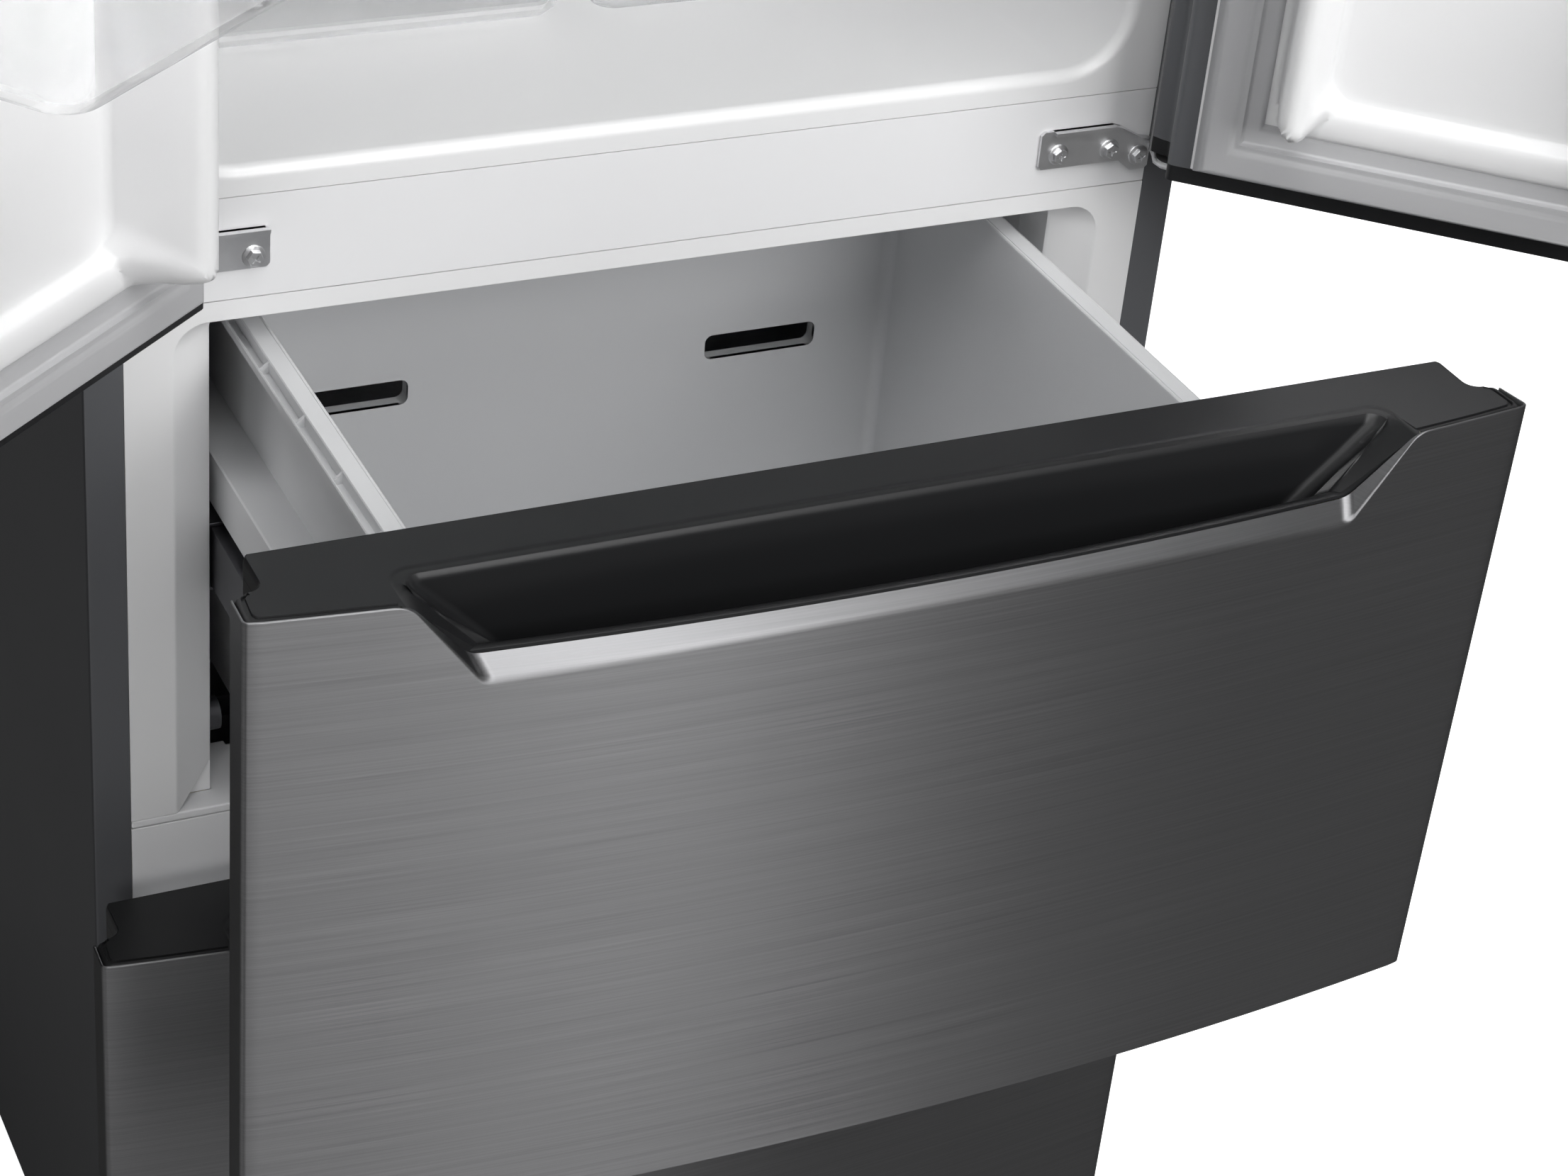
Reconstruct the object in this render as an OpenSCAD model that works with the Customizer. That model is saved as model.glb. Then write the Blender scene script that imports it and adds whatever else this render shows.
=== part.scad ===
// Four door fridge freezer: two French doors over two pull out freezer drawers.
// Millimetres. X runs across the front to the viewer's right, -Y points at the viewer, +Z is up.
// The origin is on the floor, under the middle of the cabinet's front face.
// It is drawn with both doors open, the upper drawer pulled out and the lower drawer shut.

/* [Cabinet] */
// Width of the cabinet
cab_w = 665; // [640:1:720]
// Height of the cabinet's top panel above the floor
cab_h = 1880; // [1800:5:1960]
// Depth of the cabinet without its doors
cab_d = 620; // [600:5:680]
// Height of the cabinet's underside above the floor
base_z = 30; // [26:1:36]
// Thickness of the painted steel wrapper
shell_t = 1; // [0.8:0.1:1.6]
// Width of the wrapper's strip that shows on the front face
strip_w = 22; // [16:1:26]
// Thickness of the plastic liners
liner_t = 2; // [1.6:0.1:2.4]
// Insulated side wall beside the fridge space
fridge_wall = 48; // [44:1:54]
// Insulated side wall beside the freezer space
freezer_wall = 74; // [72:1:80]
// Insulation over the fridge space
top_wall = 55; // [45:1:70]
// Insulation behind both spaces
back_wall = 60; // [50:1:70]

/* [Front layout] */
// Height of the seam under the mid rail
rail_z = 800; // [790:1:815]
// Height of the mid rail's face
rail_h = 60; // [54:1:64]
// Distance from one drawer front to the next
drawer_pitch = 388; // [384:1:392]
// Drop from the mid rail to the top of the freezer opening
opening_drop = 12; // [8:1:16]
// Height of each freezer opening
opening_h = 318; // [312:1:322]
// Depth of the slanted edge round the freezer openings
bevel_d = 17.5; // [12:0.5:24]
// Width of the slanted edge round the freezer openings
bevel_w = 23.5; // [16:0.5:26]
// Depth of the bar between the freezer drawers
crossbar_d = 62; // [50:1:75]
// Height of the fridge floor above the mid rail
floor_rise = 16; // [12:1:24]
// Radius of the corners of the fridge opening
fridge_r = 16; // [10:1:24]
// Depth and width of the rounded lip of the fridge opening
lip_d = 9; // [5:1:12]

/* [Door and drawer fronts] */
// Overall width across the fronts
front_w = 700; // [690:1:704]
// Depth of a front at its outer edge
front_edge_d = 59; // [52:1:64]
// How far the middle of the front bows out past its edges
front_bow = 22; // [10:1:30]
// Thickness of the brushed steel skin
skin_t = 1; // [0.8:0.1:1.5]
// Depth of the straight part of the side, from the rear
notch_y = 24; // [18:1:28]
// Radius of the hollow in the side
notch_r = 8; // [5:1:9]
// Thickness of the black end caps
cap_t = 10; // [8:1:12]
// Air gap between a shut drawer front and the cabinet
drawer_gap = 19.5; // [16:0.5:22]
// Air gap between a shut door and the cabinet
door_gap = 14; // [12:0.5:15]
// Clearance between a shut gasket and the cabinet face
seal_gap = 1; // [0.5:0.1:1.5]
// Height of a drawer's steel skin
skin_h = 372.6; // [370:0.1:376]
// Rise of the upper drawer's skin above the mid rail's lower seam
skin_rise = 20.4; // [16:0.2:22]

/* [Drawer handle] */
// Half width of the notch in the skin at its top
notch_top = 275; // [240:1:285]
// Half width of the notch in the skin at its bottom
notch_low = 238; // [200:1:245]
// Depth of the notch in the skin
notch_drop = 45; // [35:1:48]
// Size of the bright slanted lip along the notch
lip_bevel = 10; // [6:1:12]
// Distance from the rear of the cap to the scoop's rim
scoop_back = 31; // [26:1:36]
// Depth of the hand scoop
scoop_h = 62; // [50:1:70]

/* [Baskets and slides] */
// Half width inside a freezer basket
basket_half = 223.5; // [212:0.5:224]
// Wall thickness of a basket
basket_t = 3; // [2.4:0.1:3.4]
// Clear space behind a shut basket
basket_room = 34.5; // [20:0.5:60]
// Drop from the mid rail to the upper basket's rim
rim_drop = 30; // [26:1:40]
// Height of a basket
basket_h = 288; // [270:1:290]
// Drop from the rim to the ledge over the slide
ledge_drop = 85; // [78:1:92]
// Height of the skirt that hangs from the ledge
skirt_h = 32; // [24:1:34]
// Length of a telescopic slide
slide_len = 400; // [380:1:402]
// Height of a slide's outer channel
slide_h = 44; // [40:1:46]
// How far the upper drawer is pulled out here
pull_now = 253; // [200:1:300]
// How far a basket's rim stands out past its wall
rim_reach = 15.5; // [10:0.5:16]
// Distance from one gusset under the rim to the next
gusset_pitch = 60; // [40:5:90]
// Width of a slot in a basket's back wall
slot_w = 76; // [50:1:90]
// Height of a slot in a basket's back wall
slot_h = 17; // [10:1:20]
// Distance from the middle to each slot
slot_x = 136; // [120:1:150]

/* [Doors] */
// Height of the doors' lower edge above the mid rail's lower seam
door_rise = 32.5; // [31.5:0.5:34]
// Drop from the cabinet's top to the doors' upper edge
door_drop = 4; // [3:0.5:8]
// Gap between the two doors
door_split = 4; // [3:0.5:6]
// Distance from the hinge pin to the cabinet's middle
hinge_x = 317; // [314:0.5:319]
// Distance from the hinge pin to the cabinet's front face
hinge_y = 47; // [45:0.5:49]
// Radius of the hinge pins
pin_r = 5; // [4:0.1:6]
// Radial clearance of the pins in their bushes
pin_clear = 0.05; // [0.02:0.01:0.09]
// Angle of the right door as drawn
right_open = 138.2; // [100:0.1:140]
// Angle of the left door as drawn
left_open = 140.9; // [100:0.1:141]
// Width of a door gasket
gasket_w = 36; // [30:1:38]
// Height of the raised dike on a door liner
dike_h = 50; // [40:1:56]
// Width of the dike
dike_w = 26; // [20:1:30]
// How far a door bin stands out past the dike
bin_reach = 72; // [60:1:74]
// Height of a door bin
bin_h = 95; // [80:1:120]
// Height of the lowest door bin above the mid rail's lower seam
bin_rise = 272; // [268:1:290]
// Distance from one door bin to the next
bin_pitch = 270; // [220:5:300]
// Width of the folding bar on the left door
flap_w = 64; // [56:1:66]
// Thickness of the folding bar
flap_t = 18; // [14:1:18]

/* [Inside the fridge] */
// Height of the lowest glass shelf above the fridge floor
shelf_first = 290; // [260:5:320]
// Distance from one glass shelf to the next
shelf_pitch = 210; // [180:5:240]
// Thickness of the glass shelves
glass_t = 4; // [3:0.5:6]
// Height of the vegetable drawers
crisper_h = 184; // [160:1:188]
// Distance from the cabinet face to a vegetable drawer's front
crisper_y = 134; // [132:1:150]

/* [Machine space] */
// Height of the machine space above the floor
machine_h = 180; // [176:1:200]
// Depth of the machine space
machine_d = 160; // [158:1:170]
// Insulation between the machine space and the freezer space
machine_wall = 30; // [20:1:32]
// Radius of the compressor's shell
comp_r = 62; // [50:1:62]
// Radius of the rear rollers
roller_r = 20; // [17:1:22]

/* [Hidden] */
$fn = 48;
clear = 0.3;
half_w = cab_w / 2;
inner_half = half_w - strip_w;
rail_top = rail_z + rail_h;
fridge_half = half_w - fridge_wall;
fridge_floor = rail_top + floor_rise;
fridge_top = cab_h - top_wall;
freezer_half = half_w - freezer_wall;
liner_back = cab_d - back_wall - liner_t;
open_top = rail_z - opening_drop;
open_low = open_top - opening_h;
low_open_top = open_top - drawer_pitch;
low_open_low = open_low - drawer_pitch;
bar_top = open_low;
bar_low = low_open_top;
plinth_top = low_open_low - 20;
step_y = cab_d - machine_d - machine_wall - liner_t;
step_z = machine_h + machine_wall + liner_t;
front_half = front_w / 2;
skin_top = rail_z + skin_rise;
door_low = rail_z + door_rise;
door_top = cab_h - door_drop;
door_h = door_top - door_low;
cap_top = -1.4;
basket_d = step_y + drawer_gap - basket_t - basket_room;
basket_out = basket_half + basket_t;
ledge_out = freezer_half - 7;
basket_top = -skin_rise - rim_drop;
basket_low = basket_top - basket_h;
ledge_z = basket_top - ledge_drop;
slide_z = ledge_z - skirt_h - 4 - slide_h;
slide_in = freezer_half - 12.3;
lip_y = notch_y + notch_r + 2;
corner_r = 4;
lip_r = 3;
end_r = 4;
bar_seam = 5.5;
pin_len = 16;
arm_t = 3;
arm_gap = 4;
screw_af = 8;
screw_flange = 5.9;
screw_head = 4.2;
bin_x0 = 55;
bin_x1 = 262;
bin_front = -door_gap + dike_h + bin_reach;
shelf_y = bin_front + 16;
shelf_back = liner_back - 36;
shelf_z = [for (z = [fridge_floor + shelf_first : shelf_pitch : fridge_top - 150]) z];
crisper_lid = fridge_floor + crisper_h + 12;
crisper_x0 = 5;
step_rise = 4;
fan_z = open_top - 150;
fan_r = 52;
evap_y = liner_back - 46;
evap_z = step_z + 40;
evap_h = 170;
evap_half = freezer_half - 12 - 2 * clear;
tube_pitch = 34;
fin_pitch = 20;
foot_x = half_w - 45;
foot_y = 40;
roller_x = half_w - 50;
roller_y = cab_d - 40;
axle_r = 4;
rail_d = 14;
bar_back = 40;
bar_inset = 12;
plate_low = rail_z + 9;
plate_high = rail_z + 38.5;
plate_x0 = 236;
plate_t = 2.5;
hinge_points = [[248, rail_z + 24.4], [282, rail_z + 24.7], [306, rail_z + 16.3]];
top_points = [[hinge_x - 30, 24], [hinge_x - 30, 56], [hinge_x - 6, 40]];
cover_h = 24;
cover_wall = 2;
strip_x = half_w - 10.5;
gusset_t = 2;
dike_x0 = 50;
dike_x1 = fridge_half - 17;
dike_low = fridge_floor + 12;
dike_high = fridge_top - 12;
bin_z = [for (z = [rail_z + bin_rise : bin_pitch : dike_high - dike_w - bin_h - 4]) z];
flap_x = 34;
flap_y = 11;
bar_pin = 3;
bar_pin_len = 30;
comp_x = -150;
comp_y = cab_d - comp_r - 28;
comp_low = 38;
comp_dome = 40;
comp_h = machine_h - base_z - comp_low - comp_dome - 6;
tray_x0 = 20;
tray_x1 = 220;
tray_h = 26;
tray_wall = 3;

// Shared shapes

// Box between two corners
module block(a, b) { translate(a) cube(b - a); }

// Rectangle in the XZ plane between two corners, pushed from y0 to y1, with round corners
module round_block(x0, x1, z0, z1, y0, y1, r) {
    translate([0, y1, 0]) rotate([90, 0, 0]) linear_extrude(y1 - y0) rounded(x0, x1, z0, z1, r);
}

// Flat rounded rectangle
module rounded(x0, x1, y0, y1, r) {
    translate([x0 + r, y0]) square([x1 - x0 - 2 * r, y1 - y0]);
    translate([x0, y0 + r]) square([x1 - x0, y1 - y0 - 2 * r]);
    for (x = [x0 + r, x1 - r], y = [y0 + r, y1 - r]) translate([x, y]) circle(r);
}

// Rounded opening that narrows from one outline at y0 to another at y1
module flare(a, ra, y0, b, rb, y1) {
    hull() {
        round_block(a[0], a[1], a[2], a[3], y0, y0 + 0.01, ra, $fn = 32);
        round_block(b[0], b[1], b[2], b[3], y1 - 0.01, y1, rb, $fn = 32);
    }
}

// Rounded block standing on the XY plane, from z0 to z1
module plan_block(x0, x1, y0, y1, z0, z1, r) {
    translate([0, 0, z0]) linear_extrude(z1 - z0) rounded(x0, x1, y0, y1, r);
}

// Points along an arc
function arc(cx, cy, r, a0, a1, n) =
    [for (i = [0:n]) [cx + r * cos(a0 + (a1 - a0) * i / n), cy + r * sin(a0 + (a1 - a0) * i / n)]];

// Depth of the bowed face at x
function bow_y(x, inset) = -(front_edge_d - inset + front_bow * (1 - pow(x / front_half, 2)));

// Right hand end of a front in plan, from its rear corner round to its front corner
function end_outline(inset) = let (w = front_half - inset) concat(
    arc(half_w - end_r, -end_r, end_r, 90, 0, 4),
    arc(half_w + notch_r, -notch_y, notch_r, 180, 270, 6),
    arc(w - 1 - lip_r, -lip_y - lip_r, lip_r, 90, 0, 4),
    arc(w - corner_r, bow_y(w, inset) + corner_r, corner_r, 0, -72, 4));

// Bowed face in plan, from x0 to x1
function face_outline(x0, x1, inset) = [for (i = [0:24]) let (x = x0 + (x1 - x0) * i / 24) [x, bow_y(x, inset)]];

function flipped(points) = [for (i = [len(points) - 1:-1:0]) [-points[i][0], points[i][1]]];

// Whole drawer front in plan, the rear face on y = 0
module drawer_plan(inset) {
    side = end_outline(inset);
    reach = front_half - inset - corner_r + 0.5;
    polygon(concat(side, face_outline(reach, -reach, inset), flipped(side)));
}

// Right hand door in plan, the rear face on y = 0
module door_plan(inset) {
    side = end_outline(inset);
    reach = front_half - inset - corner_r + 0.5;
    free = door_split / 2 + inset;
    polygon(concat(side, face_outline(reach, free, inset), [[free, 0]]));
}

// Places a closed, right hand door part on the left or right door, as drawn
module on_door(side) {
    turn = side < 0 ? -left_open : right_open;
    translate([side * hinge_x, -hinge_y, 0]) rotate(turn) translate([-side * hinge_x, hinge_y, 0])
        if (side < 0) mirror([1, 0, 0]) children(); else children();
}

// Places a drawer part: y = 0 on the rear of the front, z = 0 on the skin's upper edge
module on_drawer(level) {
    translate([0, -drawer_gap - (level == 0 ? pull_now : 0), skin_top - level * drawer_pitch]) children();
}

// Both sides, the second one mirrored
module both_sides() {
    children();
    mirror([1, 0, 0]) children();
}

// Cabinet

module outer_wrapper() {
    color("#2b2c2e") {
        difference() {
            block([-half_w, 0, base_z], [half_w, cab_d, cab_h]);
            block([-half_w + shell_t, -1, base_z - 1], [half_w - shell_t, cab_d + 1, cab_h - shell_t]);
        }
        both_sides() block([inner_half, 0, base_z], [half_w - shell_t / 2, shell_t, cab_h - shell_t / 2]);
        block([-inner_half, 0, cab_h - strip_w], [inner_half, shell_t, cab_h - shell_t / 2]);
    }
}

module back_panel() {
    color("#7c7f83")
        block([-half_w + shell_t, cab_d - shell_t, machine_h], [half_w - shell_t, cab_d, cab_h - shell_t]);
}

module base_pan() {
    x = half_w - shell_t;
    color("#8b8e92") {
        difference() {
            block([-x, shell_t, base_z], [x, cab_d, base_z + 20]);
            block([-x + 2, shell_t + 2, base_z + 2], [x - 2, cab_d - 2, base_z + 21]);
            both_sides() block([roller_x - 13, roller_y - roller_r - 3, base_z - 1],
                [roller_x + 13, roller_y + roller_r - 3 + 6, base_z + 3]);
        }
        both_sides() {
            for (dx = [-17, 14])
                block([roller_x + dx, roller_y - 12, roller_r - 8], [roller_x + dx + 3, roller_y + 12, base_z + 1]);
            translate([roller_x - 17, roller_y, roller_r]) rotate([0, 90, 0]) cylinder(h = 34, r = axle_r);
        }
    }
}

module cabinet_foam() {
    x = half_w - shell_t;
    color("#e6d9a8") difference() {
        block([-x, shell_t, base_z + 20], [x, cab_d - shell_t, cab_h - shell_t]);
        fridge_outer(0);
        freezer_outer(0);
        block([-half_w, cab_d - machine_d, 0], [half_w, cab_d + 1, machine_h]);
        block([-inner_half, 0, rail_z], [inner_half, rail_d, rail_top]);
        block([-x, 0, base_z], [x, 4, plinth_top]);
        block([-half_w, rail_d, rail_z + bar_inset], [half_w, bar_back, rail_top - bar_inset]);
        both_sides() block([inner_half - 1, 0, base_z], [half_w, shell_t, cab_h]);
    }
}

// Outside of the fridge liner, grown by a clearance
module fridge_outer(grow) {
    g = liner_t + grow;
    w = fridge_half;
    block([-inner_half, 0, rail_top], [inner_half, liner_t, cab_h - strip_w]);
    block([-w - g, 0, fridge_floor - g], [w + g, liner_back + g, fridge_top + g]);
    flare([-w - lip_d - g, w + lip_d + g, fridge_floor - lip_d - g, fridge_top + lip_d + g], fridge_r + lip_d + g, 0,
        [-w - g, w + g, fridge_floor - g, fridge_top + g], fridge_r + g, lip_d + g);
}

module fridge_liner() {
    w = fridge_half;
    color("#eceded") {
        difference() {
            fridge_outer(0);
            round_block(-w, w, fridge_floor, fridge_top, -1, liner_back, fridge_r);
            flare([-w - lip_d, w + lip_d, fridge_floor - lip_d, fridge_top + lip_d], fridge_r + lip_d, -0.1,
                [-w, w, fridge_floor, fridge_top], fridge_r, lip_d);
        }
        both_sides() for (z = concat(shelf_z, [crisper_lid]))
            block([w - 7, 60, z - 8], [w + 1, shelf_back - 4, z]);
    }
}

// Outside of the freezer liner: a front frame and a tub that steps over the machine space
module freezer_outer(grow) {
    g = liner_t + grow;
    block([-inner_half, 0, plinth_top], [inner_half, bevel_d, rail_z]);
    translate([-freezer_half - g, 0, 0]) rotate([90, 0, 90]) linear_extrude(2 * (freezer_half + g)) polygon([
        [bevel_d - 1, low_open_low - g], [step_y + g, low_open_low - g], [step_y + g, step_z - g],
        [liner_back + g, step_z + step_rise - g], [liner_back + g, open_top + g], [bevel_d - 1, open_top + g]]);
}

// Freezer opening between z0 and z1, with its slanted edge and slanted lower corners
module freezer_mouth(z0, z1) {
    w = freezer_half;
    hull() {
        round_block(-w - bevel_w, w + bevel_w, z0, z1, -0.1, 0, 18, $fn = 32);
        block([-w - bevel_w, -0.1, z0], [w + bevel_w, 0, z0 + 20]);
        block([-w, bevel_d, z0 + 38], [w, bevel_d + 0.1, z1 - 8]);
        block([-w + 6, bevel_d, z0], [w - 6, bevel_d + 0.1, z1 - 2]);
        block([-w - bevel_w + 2, bevel_d, z0], [w + bevel_w - 2, bevel_d + 0.1, z0 + 0.1]);
    }
}

module freezer_liner() {
    w = freezer_half;
    color("#e3e4e5") difference() {
        freezer_outer(0);
        freezer_mouth(open_low, open_top);
        freezer_mouth(low_open_low, low_open_top);
        block([-inner_half - 1, -1, bar_low], [inner_half + 1, bevel_d + liner_t, bar_top]);
        translate([-w, 0, 0]) rotate([90, 0, 90]) linear_extrude(2 * w) polygon([
            [bevel_d - 2, low_open_low], [step_y, low_open_low], [step_y, step_z],
            [liner_back, step_z + step_rise], [liner_back, open_top], [bevel_d - 2, open_top]]);
    }
}

module mid_rail_cover() {
    color("#e4e4e6") difference() {
        block([-inner_half + clear, 0, rail_z + clear], [inner_half - clear, rail_d, rail_top - clear]);
        block([-inner_half - 1, 2.5, rail_z + 3], [inner_half + 1, rail_d + 1, rail_top - 3]);
        both_sides() screw_holes(3.2);
    }
}

module mid_crossbar() {
    x = half_w - shell_t;
    color("#9a9da1") difference() {
        block([-x, rail_d, rail_z + bar_inset], [x, bar_back, rail_top - bar_inset]);
        block([-x - 1, rail_d + 2, rail_z + bar_inset + 2], [x + 1, bar_back + 1, rail_top - bar_inset - 2]);
        both_sides() screw_holes(2.2);
    }
}

module lower_crossbar() {
    w = freezer_half - clear;
    color("#e1e2e3") difference() {
        union() {
            block([-w, 0, bar_low + clear], [w, crossbar_d, bar_top]);
            block([-inner_half + clear, 0, bar_low + clear], [inner_half - clear, bevel_d, bar_top]);
        }
        block([-inner_half - 1, -1, bar_low], [inner_half + 1, 3, bar_top - bar_seam]);
        block([-w + 22, crossbar_d - 4, bar_top - 12], [-w + 34, crossbar_d + 1, bar_top + 1]);
        block([w - 34, crossbar_d - 4, bar_top - 12], [w - 22, crossbar_d + 1, bar_top + 1]);
    }
}

module lower_rail_cover() {
    color("#e4e4e6") difference() {
        block([-inner_half + clear, 0, bar_low + clear], [inner_half - clear, 3, bar_top - bar_seam - 0.5]);
        block([-inner_half, -1, bar_low - 1], [inner_half, 0.6, bar_low + 8]);
    }
}

// Holes for the three screws of a right hand mid hinge
module screw_holes(r) {
    for (p = hinge_points) translate([p[0], -5, p[1]]) rotate([-90, 0, 0]) cylinder(h = 30, r = r, $fn = 24);
}

// Right hand mid hinge: a plate on the rail, a folded edge, an arm and its pin
module mid_hinge() {
    difference() {
        union() {
            round_block(plate_x0, inner_half - clear, plate_low, plate_high, -plate_t, 0, 3, $fn = 24);
            block([plate_x0 + 5, -8, plate_high - plate_t], [hinge_x - 20, -1, plate_high]);
            block([hinge_x - 26, -14, door_low - arm_gap - arm_t], [inner_half - clear, -1, door_low - arm_gap]);
            translate([0, 0, door_low - arm_gap - arm_t]) linear_extrude(arm_t) polygon([
                [hinge_x - 26, -12], [hinge_x - 11, -hinge_y - 2], [hinge_x - 7, -hinge_y - 9],
                [hinge_x + 7, -hinge_y - 9], [hinge_x + 11, -hinge_y], [inner_half - clear, -12]]);
            translate([hinge_x, -hinge_y, door_low - arm_gap - arm_t / 2])
                cylinder(h = arm_t / 2 + arm_gap - clear, r = pin_r + 3);
            translate([hinge_x, -hinge_y, door_low - arm_gap - arm_t])
                cylinder(h = arm_gap + arm_t + pin_len, r = pin_r);
        }
        screw_holes(2.8);
    }
}

// Right hand top hinge: a plate on the cabinet, an arm and a pin that points down
module top_hinge() {
    difference() {
        union() {
            block([hinge_x - 40, 8, cab_h], [hinge_x + 8, 70, cab_h + arm_t]);
            translate([0, 0, cab_h]) linear_extrude(arm_t) polygon([
                [hinge_x - 22, 10], [hinge_x - 12, -hinge_y], [hinge_x - 7, -hinge_y - 9],
                [hinge_x + 7, -hinge_y - 9], [hinge_x + 8, 10]]);
            translate([hinge_x, -hinge_y, door_top - pin_len])
                cylinder(h = cab_h + arm_t - door_top + pin_len, r = pin_r);
        }
        for (p = top_points) translate([p[0], p[1], cab_h - 1]) cylinder(h = 8, r = 2.8, $fn = 24);
    }
}

module door_hinges() {
    color("#b9bcc0") both_sides() {
        mid_hinge();
        top_hinge();
    }
}

// Hexagon head with a flange and a cross recess, standing on z = 0
module flange_screw(length) {
    difference() {
        union() {
            cylinder(h = 1.1, r = screw_flange, $fn = 32);
            cylinder(h = screw_head, r = screw_af / sqrt(3), $fn = 6);
        }
        for (a = [45, 135]) rotate(a) translate([-2.3, -0.5, screw_head - 1.6]) cube([4.6, 1, 2]);
    }
    translate([0, 0, -length]) cylinder(h = length + 0.5, r = 2.1, $fn = 24);
}

module hinge_screws() {
    color("#c4c6c9") both_sides() {
        for (p = hinge_points) translate([p[0], -plate_t, p[1]]) rotate([90, 0, 0]) flange_screw(18);
        for (p = top_points) translate([p[0], p[1], cab_h + arm_t]) flange_screw(arm_t);
    }
}

module hinge_covers() {
    x0 = hinge_x - 46;
    x1 = hinge_x + 14;
    color("#232426") both_sides() difference() {
        plan_block(x0, x1, -hinge_y - 14, 78, cab_h + clear, cab_h + cover_h, 6);
        plan_block(x0 + cover_wall, x1 - cover_wall, -hinge_y - 14 + cover_wall, 78 - cover_wall,
            cab_h - 1, cab_h + cover_h - cover_wall, 4);
    }
}

// Inside the fridge

module glass_shelves() {
    w = fridge_half - clear;
    color("#cfe3df", 0.5) {
        for (z = shelf_z) block([-w, shelf_y, z], [w, shelf_back, z + glass_t]);
        block([-w, crisper_y + 8, crisper_lid], [w, shelf_back, crisper_lid + glass_t]);
    }
}

// Front trim that grips a glass shelf's edge
module shelf_trim(y, z) {
    w = fridge_half - 8;
    difference() {
        block([-w, y - 12, z - 3], [w, y + 8, z + glass_t + 4]);
        block([-w - 1, y, z], [w + 1, y + 9, z + glass_t + 5]);
    }
}

module shelf_trims() {
    color("#dfe1e2") {
        for (z = shelf_z) shelf_trim(shelf_y, z);
        shelf_trim(crisper_y + 8, crisper_lid);
    }
}

module air_duct_cover() {
    color("#e9eaeb") difference() {
        block([-110, liner_back - 26, crisper_lid + 40], [110, liner_back, fridge_top - 20]);
        block([-107, liner_back - 23, crisper_lid + 43], [107, liner_back + 1, fridge_top - 23]);
        for (z = shelf_z, s = [-1, 1])
            round_block(s * 60 - 30, s * 60 + 30, z + 60, z + 72, liner_back - 30, liner_back - 20, 5);
    }
}

module fridge_lamp() {
    color("#fafafa") round_block(-90, 90, fridge_top - 9, fridge_top, 150, 190, 4);
}

// Right hand vegetable drawer
module crisper() {
    x1 = fridge_half - fridge_r;
    y1 = liner_back - 60;
    z0 = fridge_floor + clear;
    z1 = fridge_floor + crisper_h;
    difference() {
        union() {
            plan_block(crisper_x0, x1, crisper_y, y1, z0, z1, 14);
            plan_block(crisper_x0, x1, crisper_y, crisper_y + 34, z1 - 26, z1, 10);
        }
        plan_block(crisper_x0 + 2.5, x1 - 2.5, crisper_y + 6, y1 - 2.5, z0 + 3, z1 + 1, 11);
        block([crisper_x0 + 40, crisper_y - 1, z1 - 30], [x1 - 40, crisper_y + 3, z1 - 8]);
    }
}

module right_crisper() { color("#dfe8ea", 0.6) crisper(); }

module left_crisper() { color("#dfe8ea", 0.6) mirror([1, 0, 0]) crisper(); }

// Cooling parts

module evaporator_cover() {
    w = freezer_half - clear;
    y = evap_y - 10;
    color("#e6e7e8") difference() {
        union() {
            block([-w, y, step_z + 24], [w, y + 3, open_top - clear]);
            both_sides() block([w - 12, y, step_z + 24], [w - 9, liner_back, open_top - clear]);
            translate([0, y + 3, fan_z]) rotate([-90, 0, 0]) fan_housing();
        }
        translate([0, y - 1, fan_z]) rotate([-90, 0, 0]) difference() {
            cylinder(h = 5, r = fan_r + 4);
            cylinder(h = 5, r = 14);
            for (a = [0:45:135]) rotate(a) translate([-fan_r - 5, -2, 0]) cube([2 * fan_r + 10, 4, 5]);
        }
        for (z = [open_top - 40, open_low + 60, low_open_top - 40], s = [-1, 1])
            round_block(s * 130 - 50, s * 130 + 50, z - 6, z + 6, y - 1, y + 4, 5);
    }
}

// Shroud with the motor on four arms, and the motor's shaft; z points to the rear
module fan_housing() {
    difference() {
        cylinder(h = 30, r = fan_r + 8);
        translate([0, 0, -1]) cylinder(h = 32, r = fan_r + 4);
    }
    for (a = [0:90:270]) rotate(a) translate([15, -4, 24]) cube([fan_r - 8, 8, 6]);
    translate([0, 0, 24]) cylinder(h = 20, r = 20);
    translate([0, 0, 4]) cylinder(h = 21, r = 3);
}

module fan_rotor() {
    y = evap_y - 10;
    color("#3a3c3e") translate([0, y + 9, fan_z]) rotate([-90, 0, 0]) difference() {
        union() {
            cylinder(h = 14, r = 16);
            for (a = [0:60:300]) rotate(a) translate([10, -14, 5]) rotate([20, 0, 0]) cube([fan_r - 12, 26, 1.6]);
        }
        translate([0, 0, -1]) cylinder(h = 20, r = 3.05);
    }
}

module evaporator() {
    tubes = [tube_pitch / 2 : tube_pitch : evap_h];
    last = floor((evap_half - 4) / fin_pitch);
    color("#b7babd") {
        for (i = [-last:last])
            block([i * fin_pitch, evap_y, evap_z], [i * fin_pitch + 1, evap_y + 36, evap_z + evap_h]);
        for (z = tubes, y = [evap_y + 9, evap_y + 27])
            translate([-evap_half, y, evap_z + z]) rotate([0, 90, 0]) cylinder(h = 2 * evap_half, r = 4, $fn = 16);
        both_sides() for (z = tubes)
            block([evap_half - 4, evap_y + 5, evap_z + z - 4], [evap_half, evap_y + 31, evap_z + z + 4]);
    }
}

// Half of a flattened ball, standing on z = 0
module dome(r, h) {
    rotate_extrude() polygon(concat([[0, 0]], [for (a = [0:15:90]) [r * cos(a), h * sin(a)]]));
}

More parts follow.
